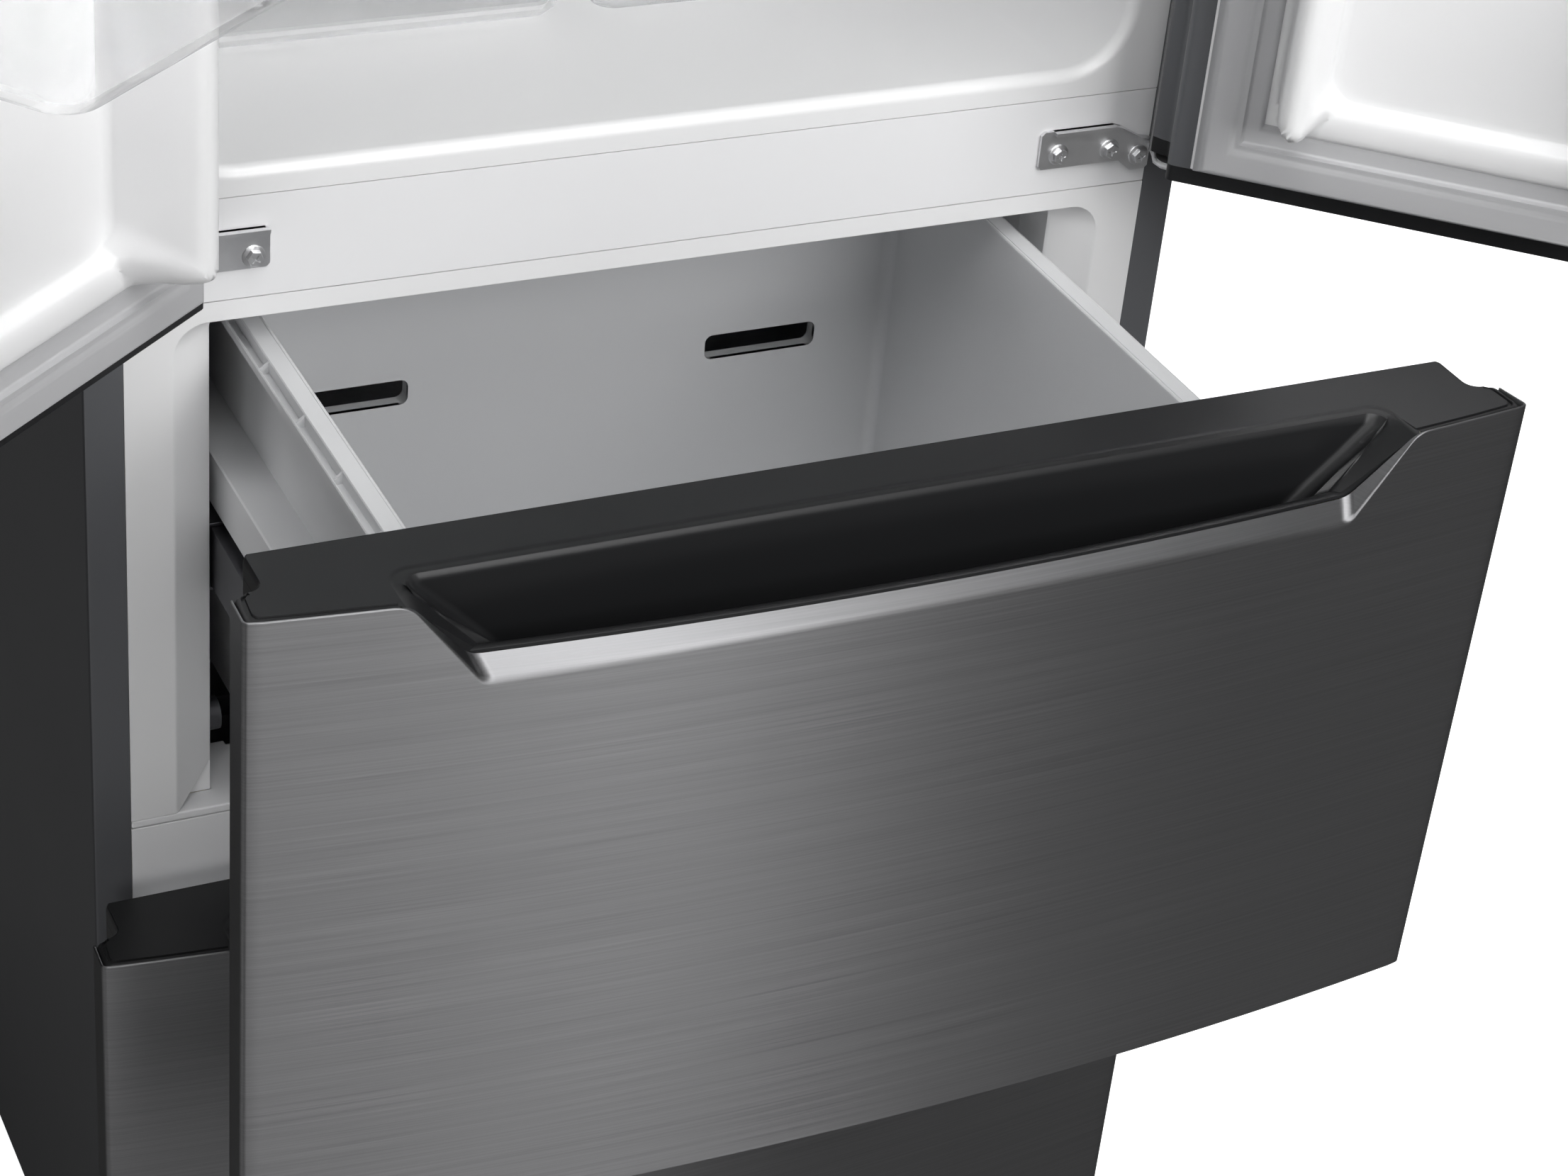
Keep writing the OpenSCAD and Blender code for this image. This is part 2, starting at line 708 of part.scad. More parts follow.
module compressor() {
    z = base_z + 2;
    top = z + comp_low + comp_h;
    color("#1d1e20") translate([comp_x, comp_y, 0]) {
        translate([0, 0, z + comp_low]) cylinder(h = comp_h, r = comp_r);
        translate([0, 0, top]) dome(comp_r, comp_dome);
        translate([0, 0, z + comp_low]) mirror([0, 0, 1]) dome(comp_r, 26);
        block([-comp_r - 18, -comp_r, z + 16], [comp_r + 18, comp_r, z + 19]);
        for (sx = [-1, 1], sy = [-1, 1])
            translate([sx * (comp_r + 6), sy * (comp_r - 11), z]) cylinder(h = 17, r = 11);
        translate([comp_r - 7, 0, z + 60]) rotate([0, 90, 0]) cylinder(h = 60, r = 5, $fn = 24);
        block([comp_r + 38, -25, z], [comp_r + 78, 25, z + 90]);
    }
}

module drip_tray() {
    z = machine_h - tray_h - 8;
    y0 = cab_d - machine_d + 20;
    y1 = cab_d - 20;
    color("#c9cbcd") {
        difference() {
            block([tray_x0, y0, z], [tray_x1, y1, z + tray_h]);
            block([tray_x0 + tray_wall, y0 + tray_wall, z + tray_wall],
                [tray_x1 - tray_wall, y1 - tray_wall, z + tray_h + 1]);
        }
        for (x = [tray_x0 + 4, tray_x1 - 14]) block([x, y0 + 10, base_z + 2], [x + 10, y0 + 20, z + 1]);
    }
}

module compressor_cover() {
    x = half_w - shell_t - clear;
    color("#3c3e41") difference() {
        block([-x, cab_d - 1.2, base_z + 20], [x, cab_d, machine_h - clear]);
        for (i = [-6:6], z = [base_z + 50 : 30 : machine_h - 30])
            round_block(i * 40 - 14, i * 40 + 14, z, z + 6, cab_d - 3, cab_d + 1, 2.9);
    }
}

module toe_kick() {
    x = half_w - shell_t - clear;
    color("#1f2022") difference() {
        block([-x, shell_t + clear, base_z + 20], [x, 4, plinth_top - clear]);
        for (i = [-7:7]) block([i * 36 - 12, 0, base_z + 24], [i * 36 + 12, 2.4, base_z + 27]);
    }
}

module levelling_feet() {
    color("#2a2b2d") both_sides() translate([foot_x, foot_y, 0]) {
        cylinder(h = 8, r = 19);
        cylinder(h = 12, r = 12, $fn = 6);
        cylinder(h = base_z, r = 6);
    }
}

// Two wheels on one axle across the rear
module rear_rollers() {
    color("#3a3b3d") translate([0, roller_y, roller_r]) rotate([0, 90, 0]) {
        for (s = [-1, 1]) translate([0, 0, s * roller_x - 10]) difference() {
            cylinder(h = 20, r = roller_r);
            translate([0, 0, -1]) cylinder(h = 22, r = axle_r + pin_clear);
        }
    }
}

// Slides

// Outer channel of a right hand slide, z = 0 on the skin's upper edge of its drawer
module slide_channel() {
    x1 = freezer_half - clear;
    difference() {
        block([slide_in, 21, slide_z], [x1, 21 + slide_len, slide_z + slide_h]);
        block([slide_in - 1, 20, slide_z + 2], [x1 - 1.6, 22 + slide_len, slide_z + slide_h - 2]);
    }
}

module slide_channels() {
    color("#3a3c3f") both_sides() {
        for (level = [0, 1]) translate([0, 0, skin_top - level * drawer_pitch]) slide_channel();
        for (z = [open_low + 36, low_open_low + 36])
            translate([freezer_half - 12, 42, z]) rotate([0, 90, 0]) cylinder(h = 12 - clear, r = 10);
    }
}

// Middle member of a right hand slide
module middle_rail() {
    x1 = freezer_half - clear - 2;
    difference() {
        block([slide_in + 0.5, 0, slide_z + 2.5], [x1, slide_len, slide_z + slide_h - 2.5]);
        block([slide_in - 1, -1, slide_z + 4.5], [x1 - 1.6, slide_len + 1, slide_z + slide_h - 4.5]);
    }
}

module middle_rails(level) {
    shift = level == 0 ? pull_now / 2 : 0;
    color("#77797d") translate([0, 21 - shift, skin_top - level * drawer_pitch]) both_sides() middle_rail();
}

module upper_middle_rails() { middle_rails(0); }

module lower_middle_rails() { middle_rails(1); }

// Inner member of a right hand slide, fixed to the basket
module inner_rail() {
    x0 = slide_in - 1;
    y = drawer_gap + 21;
    block([x0, y, slide_z + 5], [x0 + 1.6, y + slide_len, slide_z + slide_h - 5]);
    for (z = [slide_z + 5, slide_z + slide_h - 6.6]) block([x0, y, z], [x0 + 7, y + slide_len, z + 1.6]);
}

// Drawer fronts

// The notch in the skin's upper edge, seen from the front
module front_notch(grow) {
    rotate([90, 0, 0]) linear_extrude(front_w) polygon([
        [-notch_top - grow, 20], [-notch_top - grow, grow], [-notch_low - grow, -notch_drop - grow],
        [notch_low + grow, -notch_drop - grow], [notch_top + grow, grow], [notch_top + grow, 20]]);
}

module drawer_skin() {
    color("#6a6b6d") difference() {
        translate([0, 0, -skin_h]) linear_extrude(skin_h) difference() {
            drawer_plan(0);
            drawer_plan(skin_t);
            translate([-front_w, -lip_y - lip_r]) square([2 * front_w, front_w]);
        }
        front_notch(0);
    }
}

// Hand scoop: a tapered pocket in the cap, with slanted ends
module scoop(grow) {
    hull() {
        block([-notch_top + 6 - grow, -front_edge_d - 4, cap_top + 1],
            [notch_top - 6 + grow, -scoop_back + grow, cap_top + 2]);
        block([-notch_low + 24 - grow, -front_edge_d - 2, cap_top - scoop_h - grow],
            [notch_low - 24 + grow, -scoop_back - 8 + grow, cap_top - scoop_h - grow + 1]);
    }
}

module drawer_cap() {
    color("#232426") difference() {
        union() {
            translate([0, 0, cap_top - cap_t]) linear_extrude(cap_t) drawer_plan(skin_t);
            intersection() {
                scoop(3);
                translate([0, 0, -front_w]) linear_extrude(front_w - 1) drawer_plan(skin_t);
            }
            lip_band();
        }
        scoop(0);
        front_cut();
    }
}

// Band of plastic behind the notch, that carries the slanted lip
module lip_band() {
    intersection() {
        translate([0, 0, -notch_drop - 12]) linear_extrude(notch_drop + 12 + cap_top) difference() {
            drawer_plan(skin_t);
            translate([-front_w, -front_edge_d - 2]) square([2 * front_w, front_w]);
        }
        front_notch(14);
    }
}

// Cuts the cap back to a slanted lip inside the notch
module front_cut() {
    hull() {
        translate([0, -150, 0]) rotate([90, 0, 0]) linear_extrude(1) polygon(notch_points(20));
        translate([0, -front_edge_d - 6, 0]) rotate([90, 0, 0]) linear_extrude(1) polygon(notch_points(-lip_bevel));
    }
}

function notch_points(grow) = [
    [-notch_top - grow, 20], [-notch_top - grow, 0], [-notch_low - grow, -notch_drop - grow],
    [notch_low + grow, -notch_drop - grow], [notch_top + grow, 0], [notch_top + grow, 20]];

// Black side strips and bottom cap of a drawer front
module drawer_frame() {
    z1 = cap_top - cap_t;
    color("#1e1f21") {
        translate([0, 0, -skin_h]) linear_extrude(cap_t) drawer_plan(skin_t);
        translate([0, 0, -skin_h + cap_t]) linear_extrude(z1 + skin_h - cap_t) difference() {
            drawer_plan(skin_t);
            translate([-strip_x, -front_w]) square([2 * strip_x, 2 * front_w]);
        }
    }
}

module drawer_foam() {
    color("#e6d9a8") difference() {
        translate([0, 0, -skin_h + cap_t]) linear_extrude(skin_h - cap_t + cap_top - cap_t) intersection() {
            drawer_plan(skin_t);
            translate([-strip_x, -front_w]) square([2 * strip_x, front_w - 2]);
        }
        scoop(3.2);
        block([-notch_top - 16, -front_w, -notch_drop - 16], [notch_top + 16, -front_edge_d - 1.8, 10]);
    }
}

module drawer_plate() {
    color("#e8e9ea") block([-strip_x, -2, -skin_h + cap_t], [strip_x, 0, cap_top - cap_t]);
}

// Frame shaped seal on the rear of a drawer front
module drawer_gasket() {
    out = freezer_half + bevel_w + 24;
    in = freezer_half + bevel_w + 2;
    top = -skin_rise + 8;
    low = -skin_rise - opening_drop - opening_h - 18;
    depth = drawer_gap - seal_gap;
    color("#8f9194") difference() {
        block([-out, 0, low], [out, depth, top]);
        block([-in, -1, low + 16], [in, depth + 1, top - 20]);
    }
}

module basket() {
    back = basket_d + basket_t;
    rim = basket_out + rim_reach;
    slot_z = basket_top - 133;
    color("#b5b7ba") {
        difference() {
            union() {
                block([-basket_out, 0, basket_low], [basket_out, back, basket_top]);
                block([-ledge_out, 0, ledge_z - 3], [ledge_out, back, ledge_z]);
            }
            block([-basket_half, basket_t, basket_low + basket_t], [basket_half, basket_d, basket_top + 1]);
            for (s = [-1, 1]) round_block(s * slot_x - slot_w / 2, s * slot_x + slot_w / 2,
                slot_z, slot_z + slot_h, basket_d - 1, back + 1, 4);
        }
        both_sides() {
            block([basket_out - 0.5, 0, basket_top - 2.5], [rim, back, basket_top]);
            block([rim - 2, 0, basket_top - 9], [rim, back, basket_top - 2]);
            for (y = [gusset_pitch / 4 : gusset_pitch : basket_d])
                block([basket_out - 0.5, y, basket_top - 9], [rim - 1, y + gusset_t, basket_top - 2]);
            block([ledge_out - 2, 0, ledge_z - skirt_h], [ledge_out, back, ledge_z - 2]);
            for (y = [45 : 80 : basket_d - 30])
                block([basket_out - 0.5, y, slide_z + 6], [slide_in - 1, y + 2.5, ledge_z - 2]);
        }
    }
}

module upper_drawer_skin() { on_drawer(0) drawer_skin(); }

module upper_drawer_cap() { on_drawer(0) drawer_cap(); }

module upper_drawer_frame() { on_drawer(0) drawer_frame(); }

module upper_drawer_foam() { on_drawer(0) drawer_foam(); }

module upper_drawer_plate() { on_drawer(0) drawer_plate(); }

module upper_drawer_gasket() { on_drawer(0) drawer_gasket(); }

module upper_basket() { on_drawer(0) basket(); }

module upper_drawer_rails() { on_drawer(0) color("#8d9094") both_sides() inner_rail(); }

module lower_drawer_skin() { on_drawer(1) drawer_skin(); }

module lower_drawer_cap() { on_drawer(1) drawer_cap(); }

module lower_drawer_frame() { on_drawer(1) drawer_frame(); }

module lower_drawer_foam() { on_drawer(1) drawer_foam(); }

module lower_drawer_plate() { on_drawer(1) drawer_plate(); }

module lower_drawer_gasket() { on_drawer(1) drawer_gasket(); }

module lower_basket() { on_drawer(1) basket(); }

module lower_drawer_rails() { on_drawer(1) color("#8d9094") both_sides() inner_rail(); }

// Doors, each drawn as a shut right hand door in the cabinet's frame

module door_skin() {
    color("#5e6062") translate([0, -door_gap, door_low]) linear_extrude(door_h) difference() {
        door_plan(0);
        door_plan(skin_t);
        translate([0, -lip_y - lip_r]) square([front_w, front_w]);
    }
}

// Top and bottom caps, each with the bush of its hinge pin
module door_caps() {
    color("#1d1e20") difference() {
        translate([0, -door_gap, 0]) for (z = [door_low, door_top - cap_t]) translate([0, 0, z])
            linear_extrude(cap_t) door_plan(skin_t);
        door_bore(cap_t);
        translate([0, 0, door_h - cap_t]) door_bore(cap_t);
    }
    color("#1d1e20") for (z = [door_low + cap_t, door_top - cap_t - pin_len]) translate([0, 0, z]) difference() {
        translate([hinge_x, -hinge_y, 0]) cylinder(h = pin_len, r = pin_r + 4);
        translate([hinge_x, -hinge_y, -1]) cylinder(h = pin_len + 2, r = pin_r + pin_clear);
    }
}

module door_bore(h) {
    translate([hinge_x, -hinge_y, door_low - 1]) cylinder(h = h + 2, r = pin_r + pin_clear);
}

module door_foam() {
    color("#e6d9a8") difference() {
        translate([0, -door_gap, door_low + cap_t]) linear_extrude(door_h - 2 * cap_t) intersection() {
            door_plan(skin_t);
            translate([0, -front_w]) square([front_w, front_w - 2]);
        }
        for (z = [door_low + cap_t - 1, door_top - cap_t - pin_len - clear])
            translate([hinge_x, -hinge_y, z]) cylinder(h = pin_len + 1 + clear, r = pin_r + 4);
    }
}

// Liner: a flat sheet with a raised ring inside the gasket
module door_liner() {
    y = -door_gap;
    color("#eceded") difference() {
        union() {
            block([door_split / 2 + skin_t, y - 2, door_low + cap_t], [half_w - 1, y, door_top - cap_t]);
            flare([dike_x0 - 4, dike_x1 + 11, dike_low - 5, dike_high + 5], 18, y - 0.5,
                [dike_x0, dike_x1, dike_low, dike_high], 14, y + dike_h);
        }
        flare([dike_x0 + dike_w - 4, dike_x1 - dike_w + 4, dike_low + dike_w - 14, dike_high - dike_w + 4], 16,
            y + dike_h + 1,
            [dike_x0 + dike_w, dike_x1 - dike_w, dike_low + dike_w - 10, dike_high - dike_w], 12, y);
    }
}

module door_gasket() {
    y = -door_gap;
    x1 = hinge_x;
    x0 = door_split / 2 + 4;
    z0 = door_low + cap_t;
    z1 = door_top - cap_t - 2;
    color("#98999c") difference() {
        block([x0, y, z0], [x1, -seal_gap, z1]);
        block([x0 + gasket_w, y - 1, z0 + gasket_w], [x1 - gasket_w, 0, z1 - gasket_w]);
    }
}

// Clear bins that hang inside the dike
module door_bins() {
    y0 = -door_gap + 4;
    color("#e3eaec", 0.5) for (z = bin_z) difference() {
        union() {
            plan_block(bin_x0, bin_x1, y0 + dike_h, bin_front, z, z + bin_h, 18);
            block([dike_x0 + dike_w + 0.5, y0 + 1, z], [dike_x1 - dike_w - 0.5, y0 + dike_h + 30, z + bin_h]);
        }
        plan_block(bin_x0 + 3, bin_x1 - 3, y0 + dike_h + 3, bin_front - 3, z + 3, z + bin_h + 1, 15);
        block([dike_x0 + dike_w + 3.5, y0 + 4, z + 3], [dike_x1 - dike_w - 3.5, y0 + dike_h + 25, z + bin_h + 1]);
    }
}

// Vertical bar on the left door that folds behind the gap between the doors, drawn folded
module folding_bar() {
    color("#d9dadb") on_door(-1) difference() {
        translate([flap_x, flap_y, dike_low + 8]) linear_extrude(dike_high - dike_low - 16)
            rounded(-flap_t / 2, flap_t / 2, -6, flap_w - 6, 3);
        translate([flap_x, flap_y, dike_low]) cylinder(h = bar_pin_len + 10, r = bar_pin + pin_clear);
        translate([flap_x, flap_y, dike_high - bar_pin_len - 10])
            cylinder(h = bar_pin_len + 20, r = bar_pin + pin_clear);
    }
}

// Brackets and pins that carry the folding bar on the left door's liner
module bar_brackets() {
    for (z = [dike_low + 3, dike_high - 6]) block([flap_x - 6, flap_y - 8, z], [dike_x0 + 6, flap_y + 6, z + 3]);
    translate([flap_x, flap_y, dike_low + 4]) cylinder(h = bar_pin_len, r = bar_pin);
    translate([flap_x, flap_y, dike_high - 4 - bar_pin_len]) cylinder(h = bar_pin_len, r = bar_pin);
}

module left_door_skin() { on_door(-1) door_skin(); }

module left_door_caps() { on_door(-1) door_caps(); }

module left_door_foam() { on_door(-1) door_foam(); }

module left_door_liner() {
    on_door(-1) {
        door_liner();
        color("#eceded") bar_brackets();
    }
}

module left_door_gasket() { on_door(-1) door_gasket(); }

module left_door_bins() { on_door(-1) door_bins(); }

module right_door_skin() { on_door(1) door_skin(); }

module right_door_caps() { on_door(1) door_caps(); }

module right_door_foam() { on_door(1) door_foam(); }

module right_door_liner() { on_door(1) door_liner(); }

module right_door_gasket() { on_door(1) door_gasket(); }

module right_door_bins() { on_door(1) door_bins(); }

outer_wrapper();
back_panel();
base_pan();
cabinet_foam();
fridge_liner();
freezer_liner();
mid_rail_cover();
mid_crossbar();
lower_crossbar();
lower_rail_cover();
door_hinges();
hinge_screws();
hinge_covers();
glass_shelves();
shelf_trims();
air_duct_cover();
fridge_lamp();
evaporator_cover();
evaporator();
compressor();
drip_tray();
compressor_cover();
toe_kick();
levelling_feet();
slide_channels();
fan_rotor();
rear_rollers();
left_crisper();
right_crisper();
left_door_skin();
left_door_caps();
left_door_foam();
left_door_liner();
left_door_gasket();
left_door_bins();
folding_bar();
right_door_skin();
right_door_caps();
right_door_foam();
right_door_liner();
right_door_gasket();
right_door_bins();
upper_drawer_skin();
upper_drawer_cap();
upper_drawer_frame();
upper_drawer_foam();
upper_drawer_plate();
upper_drawer_gasket();
upper_basket();
upper_drawer_rails();
upper_middle_rails();
lower_drawer_skin();
lower_drawer_cap();
lower_drawer_frame();
lower_drawer_foam();
lower_drawer_plate();
lower_drawer_gasket();
lower_basket();
lower_drawer_rails();
lower_middle_rails();
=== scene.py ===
"""Looks of the fridge freezer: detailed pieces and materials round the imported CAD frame.

Sizes are in millimetres in the CAD's own frame, and become metres when a mesh is made.
"""

import logging
import math
from dataclasses import dataclass
from enum import Enum
from typing import Iterable, Sequence

import bmesh
import bpy
from bmesh.types import BMVert
from bpy.types import ID, Material, Mesh, Node, NodeSocket, NodeTree, Object
from mathutils import Matrix, Vector

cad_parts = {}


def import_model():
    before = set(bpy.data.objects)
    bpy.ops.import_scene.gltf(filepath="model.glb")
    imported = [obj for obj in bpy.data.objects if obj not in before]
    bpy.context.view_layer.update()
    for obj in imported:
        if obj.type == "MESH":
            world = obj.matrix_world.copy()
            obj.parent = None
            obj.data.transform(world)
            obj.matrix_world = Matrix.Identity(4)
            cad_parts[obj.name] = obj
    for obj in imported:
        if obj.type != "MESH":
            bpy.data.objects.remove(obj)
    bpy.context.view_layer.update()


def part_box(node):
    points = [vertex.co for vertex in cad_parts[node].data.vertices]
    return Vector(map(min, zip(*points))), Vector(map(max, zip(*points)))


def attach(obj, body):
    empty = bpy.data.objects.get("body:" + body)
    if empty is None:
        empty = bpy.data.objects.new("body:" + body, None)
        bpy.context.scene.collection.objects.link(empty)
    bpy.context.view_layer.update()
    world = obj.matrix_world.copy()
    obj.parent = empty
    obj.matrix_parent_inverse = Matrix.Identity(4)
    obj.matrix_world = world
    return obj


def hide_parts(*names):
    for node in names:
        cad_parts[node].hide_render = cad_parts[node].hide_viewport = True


log = logging.getLogger("fridge_freezer")

Point = tuple[float, float, float]
Flat = tuple[float, float]
TO_METRES = Matrix.Scale(0.001, 4)
Y_AXIS, Z_AXIS = 1, 2
LEFT, RIGHT = -1, 1
UPPER, LOWER = 0, 1
SIDE_NAME = {LEFT: "left", RIGHT: "right"}
LEVEL_NAME = {UPPER: "upper", LOWER: "lower"}

# Sizes of the cabinet, as in the CAD source
HALF_W = 332.5
CAB_H = 1880.0
CAB_D = 620.0
BASE_Z = 30.0
STRIP_W = 22.0
INNER_HALF = HALF_W - STRIP_W
RAIL_TOP = 860.0
FRIDGE_HALF = 284.5
FRIDGE_FLOOR = 876.0
FRIDGE_TOP = 1825.0
LINER_BACK = 558.0
FREEZER_HALF = 258.5
OPEN_TOP = 788.0
OPEN_LOW = 470.0
LOW_OPEN_TOP = 400.0
LOW_OPEN_LOW = 82.0
PLINTH_TOP = 62.0
BEVEL_D = 17.5
BEVEL_W = 23.5
STEP_Y = 428.0
STEP_Z = 212.0

# Sizes and places of the doors and drawers, as in the CAD source
HINGE_X = 317.0
HINGE_Y = 47.0
DOOR_GAP = 14.0
DOOR_LOW = 832.5
DOOR_TOP = 1876.0
OPEN_ANGLE = {LEFT: -140.9, RIGHT: 138.2}
DRAWER_GAP = 19.5
SKIN_TOP = 820.4
DRAWER_PITCH = 388.0
PULLED = {UPPER: 253.0, LOWER: 0.0}

# Seeds of the screws' random turns, one added for the right side and one taken away for the left
MID_SEED, TOP_SEED, BACK_SEED = 4, 9, 20

# Colour sockets of a mix node
MIX_FIRST, MIX_SECOND, MIX_RESULT = 6, 7, 2


def feed(tree: NodeTree, node: Node, inputs: dict) -> None:
    """Links a socket, or sets a plain value, at each given input of a node."""
    for label, value in inputs.items():
        if isinstance(value, NodeSocket):
            tree.links.new(value, node.inputs[label])
        else:
            node.inputs[label].default_value = value


def add(tree: NodeTree, kind: str, inputs: dict | None = None, **settings: object) -> Node:
    """Adds a node with its other settings, feeds its inputs and returns it."""
    node = tree.nodes.new(kind)
    for label, value in settings.items():
        setattr(node, label, value)
    feed(tree, node, inputs or {})
    return node


def maths(tree: NodeTree, operation: str, *values: object) -> NodeSocket:
    """Adds a math node on sockets or numbers and returns its result."""
    return add(tree, "ShaderNodeMath", dict(enumerate(values)), operation=operation).outputs[0]


def noise(tree: NodeTree, scale: object, detail: float, vector: object) -> NodeSocket:
    """Adds a noise texture, its scale a number or a socket, and returns its value."""
    inputs = {"Scale": scale, "Detail": detail, "Vector": vector}
    return add(tree, "ShaderNodeTexNoise", inputs).outputs["Fac"]


def spread(tree: NodeTree, value: object, low: float, high: float,
           out: Flat = (0.0, 1.0)) -> NodeSocket:
    """Maps a value from one range to another, clamped, and returns the result."""
    inputs = {"Value": value, "From Min": low, "From Max": high, "To Min": out[0], "To Max": out[1]}
    return add(tree, "ShaderNodeMapRange", inputs).outputs["Result"]


def blended(tree: NodeTree, share: object, first: Point, second: Point) -> NodeSocket:
    """Mixes two colours by a share and returns the result."""
    inputs = {0: share, MIX_FIRST: (*first, 1.0), MIX_SECOND: (*second, 1.0)}
    return add(tree, "ShaderNodeMix", inputs, data_type="RGBA").outputs[MIX_RESULT]


def new_group(name: str, kind: str, ins: dict[str, str], outs: dict[str, str]) -> NodeTree:
    """Starts a node group.

    Args:
        name: The group's name.
        kind: Type of the tree.
        ins: Socket type of each input, by its name.
        outs: Socket type of each output, by its name.

    Returns:
        The group with its input and output nodes.
    """
    tree = bpy.data.node_groups.new(name, kind)
    for way, sockets in (("INPUT", ins), ("OUTPUT", outs)):
        for label, socket in sockets.items():
            tree.interface.new_socket(name=label, in_out=way, socket_type=f"NodeSocket{socket}")
    tree.nodes.new("NodeGroupInput")
    tree.nodes.new("NodeGroupOutput")
    return tree


class Surface(Enum):
    """How a finish is made."""

    MOULDED = "moulded plastic"
    BRUSHED = "brushed steel"
    SHEET = "painted or plated sheet"
    CLEAR = "clear plastic or glass"
    GLOWING = "lamp cover"


@dataclass(frozen=True)
class Finish:
    """One material: its two tones, its gloss range and the grain in its surface."""

    name: str
    slot: str
    surface: Surface
    color: Point
    tint: Point
    rough: Flat
    metal: float = 0.0
    coat: float = 0.0
    grain: float = 700.0
    bump: float = 0.02
    soil: float = 5.0
    shine: float = 0.5

    def material(self) -> Material:
        """Returns the Blender material, built on first use."""
        return bpy.data.materials.get(self.name) or MaterialShop().build(self)


@dataclass(frozen=True)
class MaterialShop:
    """Builds the materials and the shader groups that they share."""

    brush_reach: float = 9.0
    brush_pull: float = 0.9
    bump_strength: float = 0.6
    coat_rough: float = 0.12
    clear_index: float = 1.3
    clear_share: float = 0.8

    def group(self, name: str, ins: Sequence[str], outs: Sequence[str]) -> NodeTree:
        """Starts a shader group that takes a vector and named values, and gives named values."""
        sockets = {"Vector": "Vector", **dict.fromkeys(ins, "Float")}
        return new_group(name, "ShaderNodeTree", sockets, dict.fromkeys(outs, "Float"))

    def surface_grain(self) -> NodeTree:
        """Makes the group of fine moulding grain and slow changes of tone."""
        tree = self.group("surface_grain", ("Grain", "Soil"), ("Tone", "Height"))
        ins = tree.nodes["Group Input"].outputs
        slow = noise(tree, ins["Soil"], 5.0, ins["Vector"])
        fine = noise(tree, ins["Grain"], 2.0, ins["Vector"])
        feed(tree, tree.nodes["Group Output"], {"Tone": spread(tree, slow, 0.15, 0.85), "Height": fine})
        return tree

    def brushed_lines(self) -> NodeTree:
        """Makes the group of level brush marks: long in plan, very fine in height."""
        tree = self.group("brushed_lines", ("Lines", "Reach"), ("Mask", "Height"))
        ins = tree.nodes["Group Input"].outputs
        heights = []
        for share in (1.0, 0.45):
            along = maths(tree, "MULTIPLY", ins["Reach"], share)
            across = maths(tree, "MULTIPLY", ins["Lines"], share)
            scale = add(tree, "ShaderNodeCombineXYZ", {"X": along, "Y": along, "Z": across}).outputs[0]
            stretch = add(tree, "ShaderNodeVectorMath", {0: ins["Vector"], 1: scale}, operation="MULTIPLY")
            heights.append(noise(tree, 1.0, 3.0, stretch.outputs[0]))
        both = maths(tree, "ADD", *heights)
        feed(tree, tree.nodes["Group Output"], {"Mask": spread(tree, both, 0.7, 1.3), "Height": both})
        return tree

    def let_light_through(self, tree: NodeTree, shader: Node) -> None:
        """Lets shadow rays pass a clear material, so that what is behind it stays lit."""
        shadow = add(tree, "ShaderNodeLightPath").outputs["Is Shadow Ray"]
        open_way = add(tree, "ShaderNodeBsdfTransparent", {"Color": (0.95, 0.95, 0.95, 1.0)})
        mix = add(tree, "ShaderNodeMixShader", {0: shadow, 1: shader.outputs[0], 2: open_way.outputs[0]})
        feed(tree, tree.nodes["Material Output"], {"Surface": mix.outputs[0]})

    def build(self, finish: Finish) -> Material:
        """Makes one material from what its finish looks like."""
        material = bpy.data.materials.new(finish.name)
        material.use_nodes = True
        tree = material.node_tree
        shader = tree.nodes["Principled BSDF"]
        place = add(tree, "ShaderNodeTexCoord").outputs["Object"]
        group = bpy.data.node_groups.get("surface_grain") or self.surface_grain()
        grain = add(tree, "ShaderNodeGroup", node_tree=group)
        feed(tree, grain, {"Vector": place, "Grain": finish.grain, "Soil": finish.soil})
        tone, height = grain.outputs["Tone"], grain.outputs["Height"]
        if finish.surface is Surface.BRUSHED:
            lines = add(tree, "ShaderNodeGroup", node_tree=self.brushed_lines())
            feed(tree, lines, {"Vector": place, "Lines": finish.grain, "Reach": self.brush_reach})
            height = lines.outputs["Height"]
            upright = add(tree, "ShaderNodeCombineXYZ", {"Z": 1.0})
            feed(tree, shader, {"Anisotropic": self.brush_pull, "Tangent": upright.outputs[0]})
            slow = spread(tree, tone, 0.0, 1.0, (0.0, 0.2))
            tone = maths(tree, "MULTIPLY_ADD", lines.outputs["Mask"], 0.8, slow)
        bump = add(tree, "ShaderNodeBump", {"Strength": self.bump_strength, "Distance": finish.bump * 0.001,
                                            "Height": height})
        rough = spread(tree, tone, 0.0, 1.0, finish.rough)
        feed(tree, shader, {"Base Color": blended(tree, tone, finish.color, finish.tint), "Roughness": rough,
                            "Normal": bump.outputs[0], "Metallic": finish.metal,
                            "Specular IOR Level": finish.shine, "Coat Weight": finish.coat,
                            "Coat Roughness": self.coat_rough})
        if finish.surface is Surface.CLEAR:
            facing = add(tree, "ShaderNodeLayerWeight", {"Blend": 0.35}).outputs["Facing"]
            feed(tree, shader, {"Transmission Weight": self.clear_share, "IOR": self.clear_index,
                                "Alpha": spread(tree, facing, 0.1, 0.95, (0.16, 0.9))})
            self.let_light_through(tree, shader)
        if finish.surface is Surface.GLOWING:
            feed(tree, shader, {"Emission Color": (1.0, 0.98, 0.95, 1.0), "Emission Strength": 0.4})
        return material


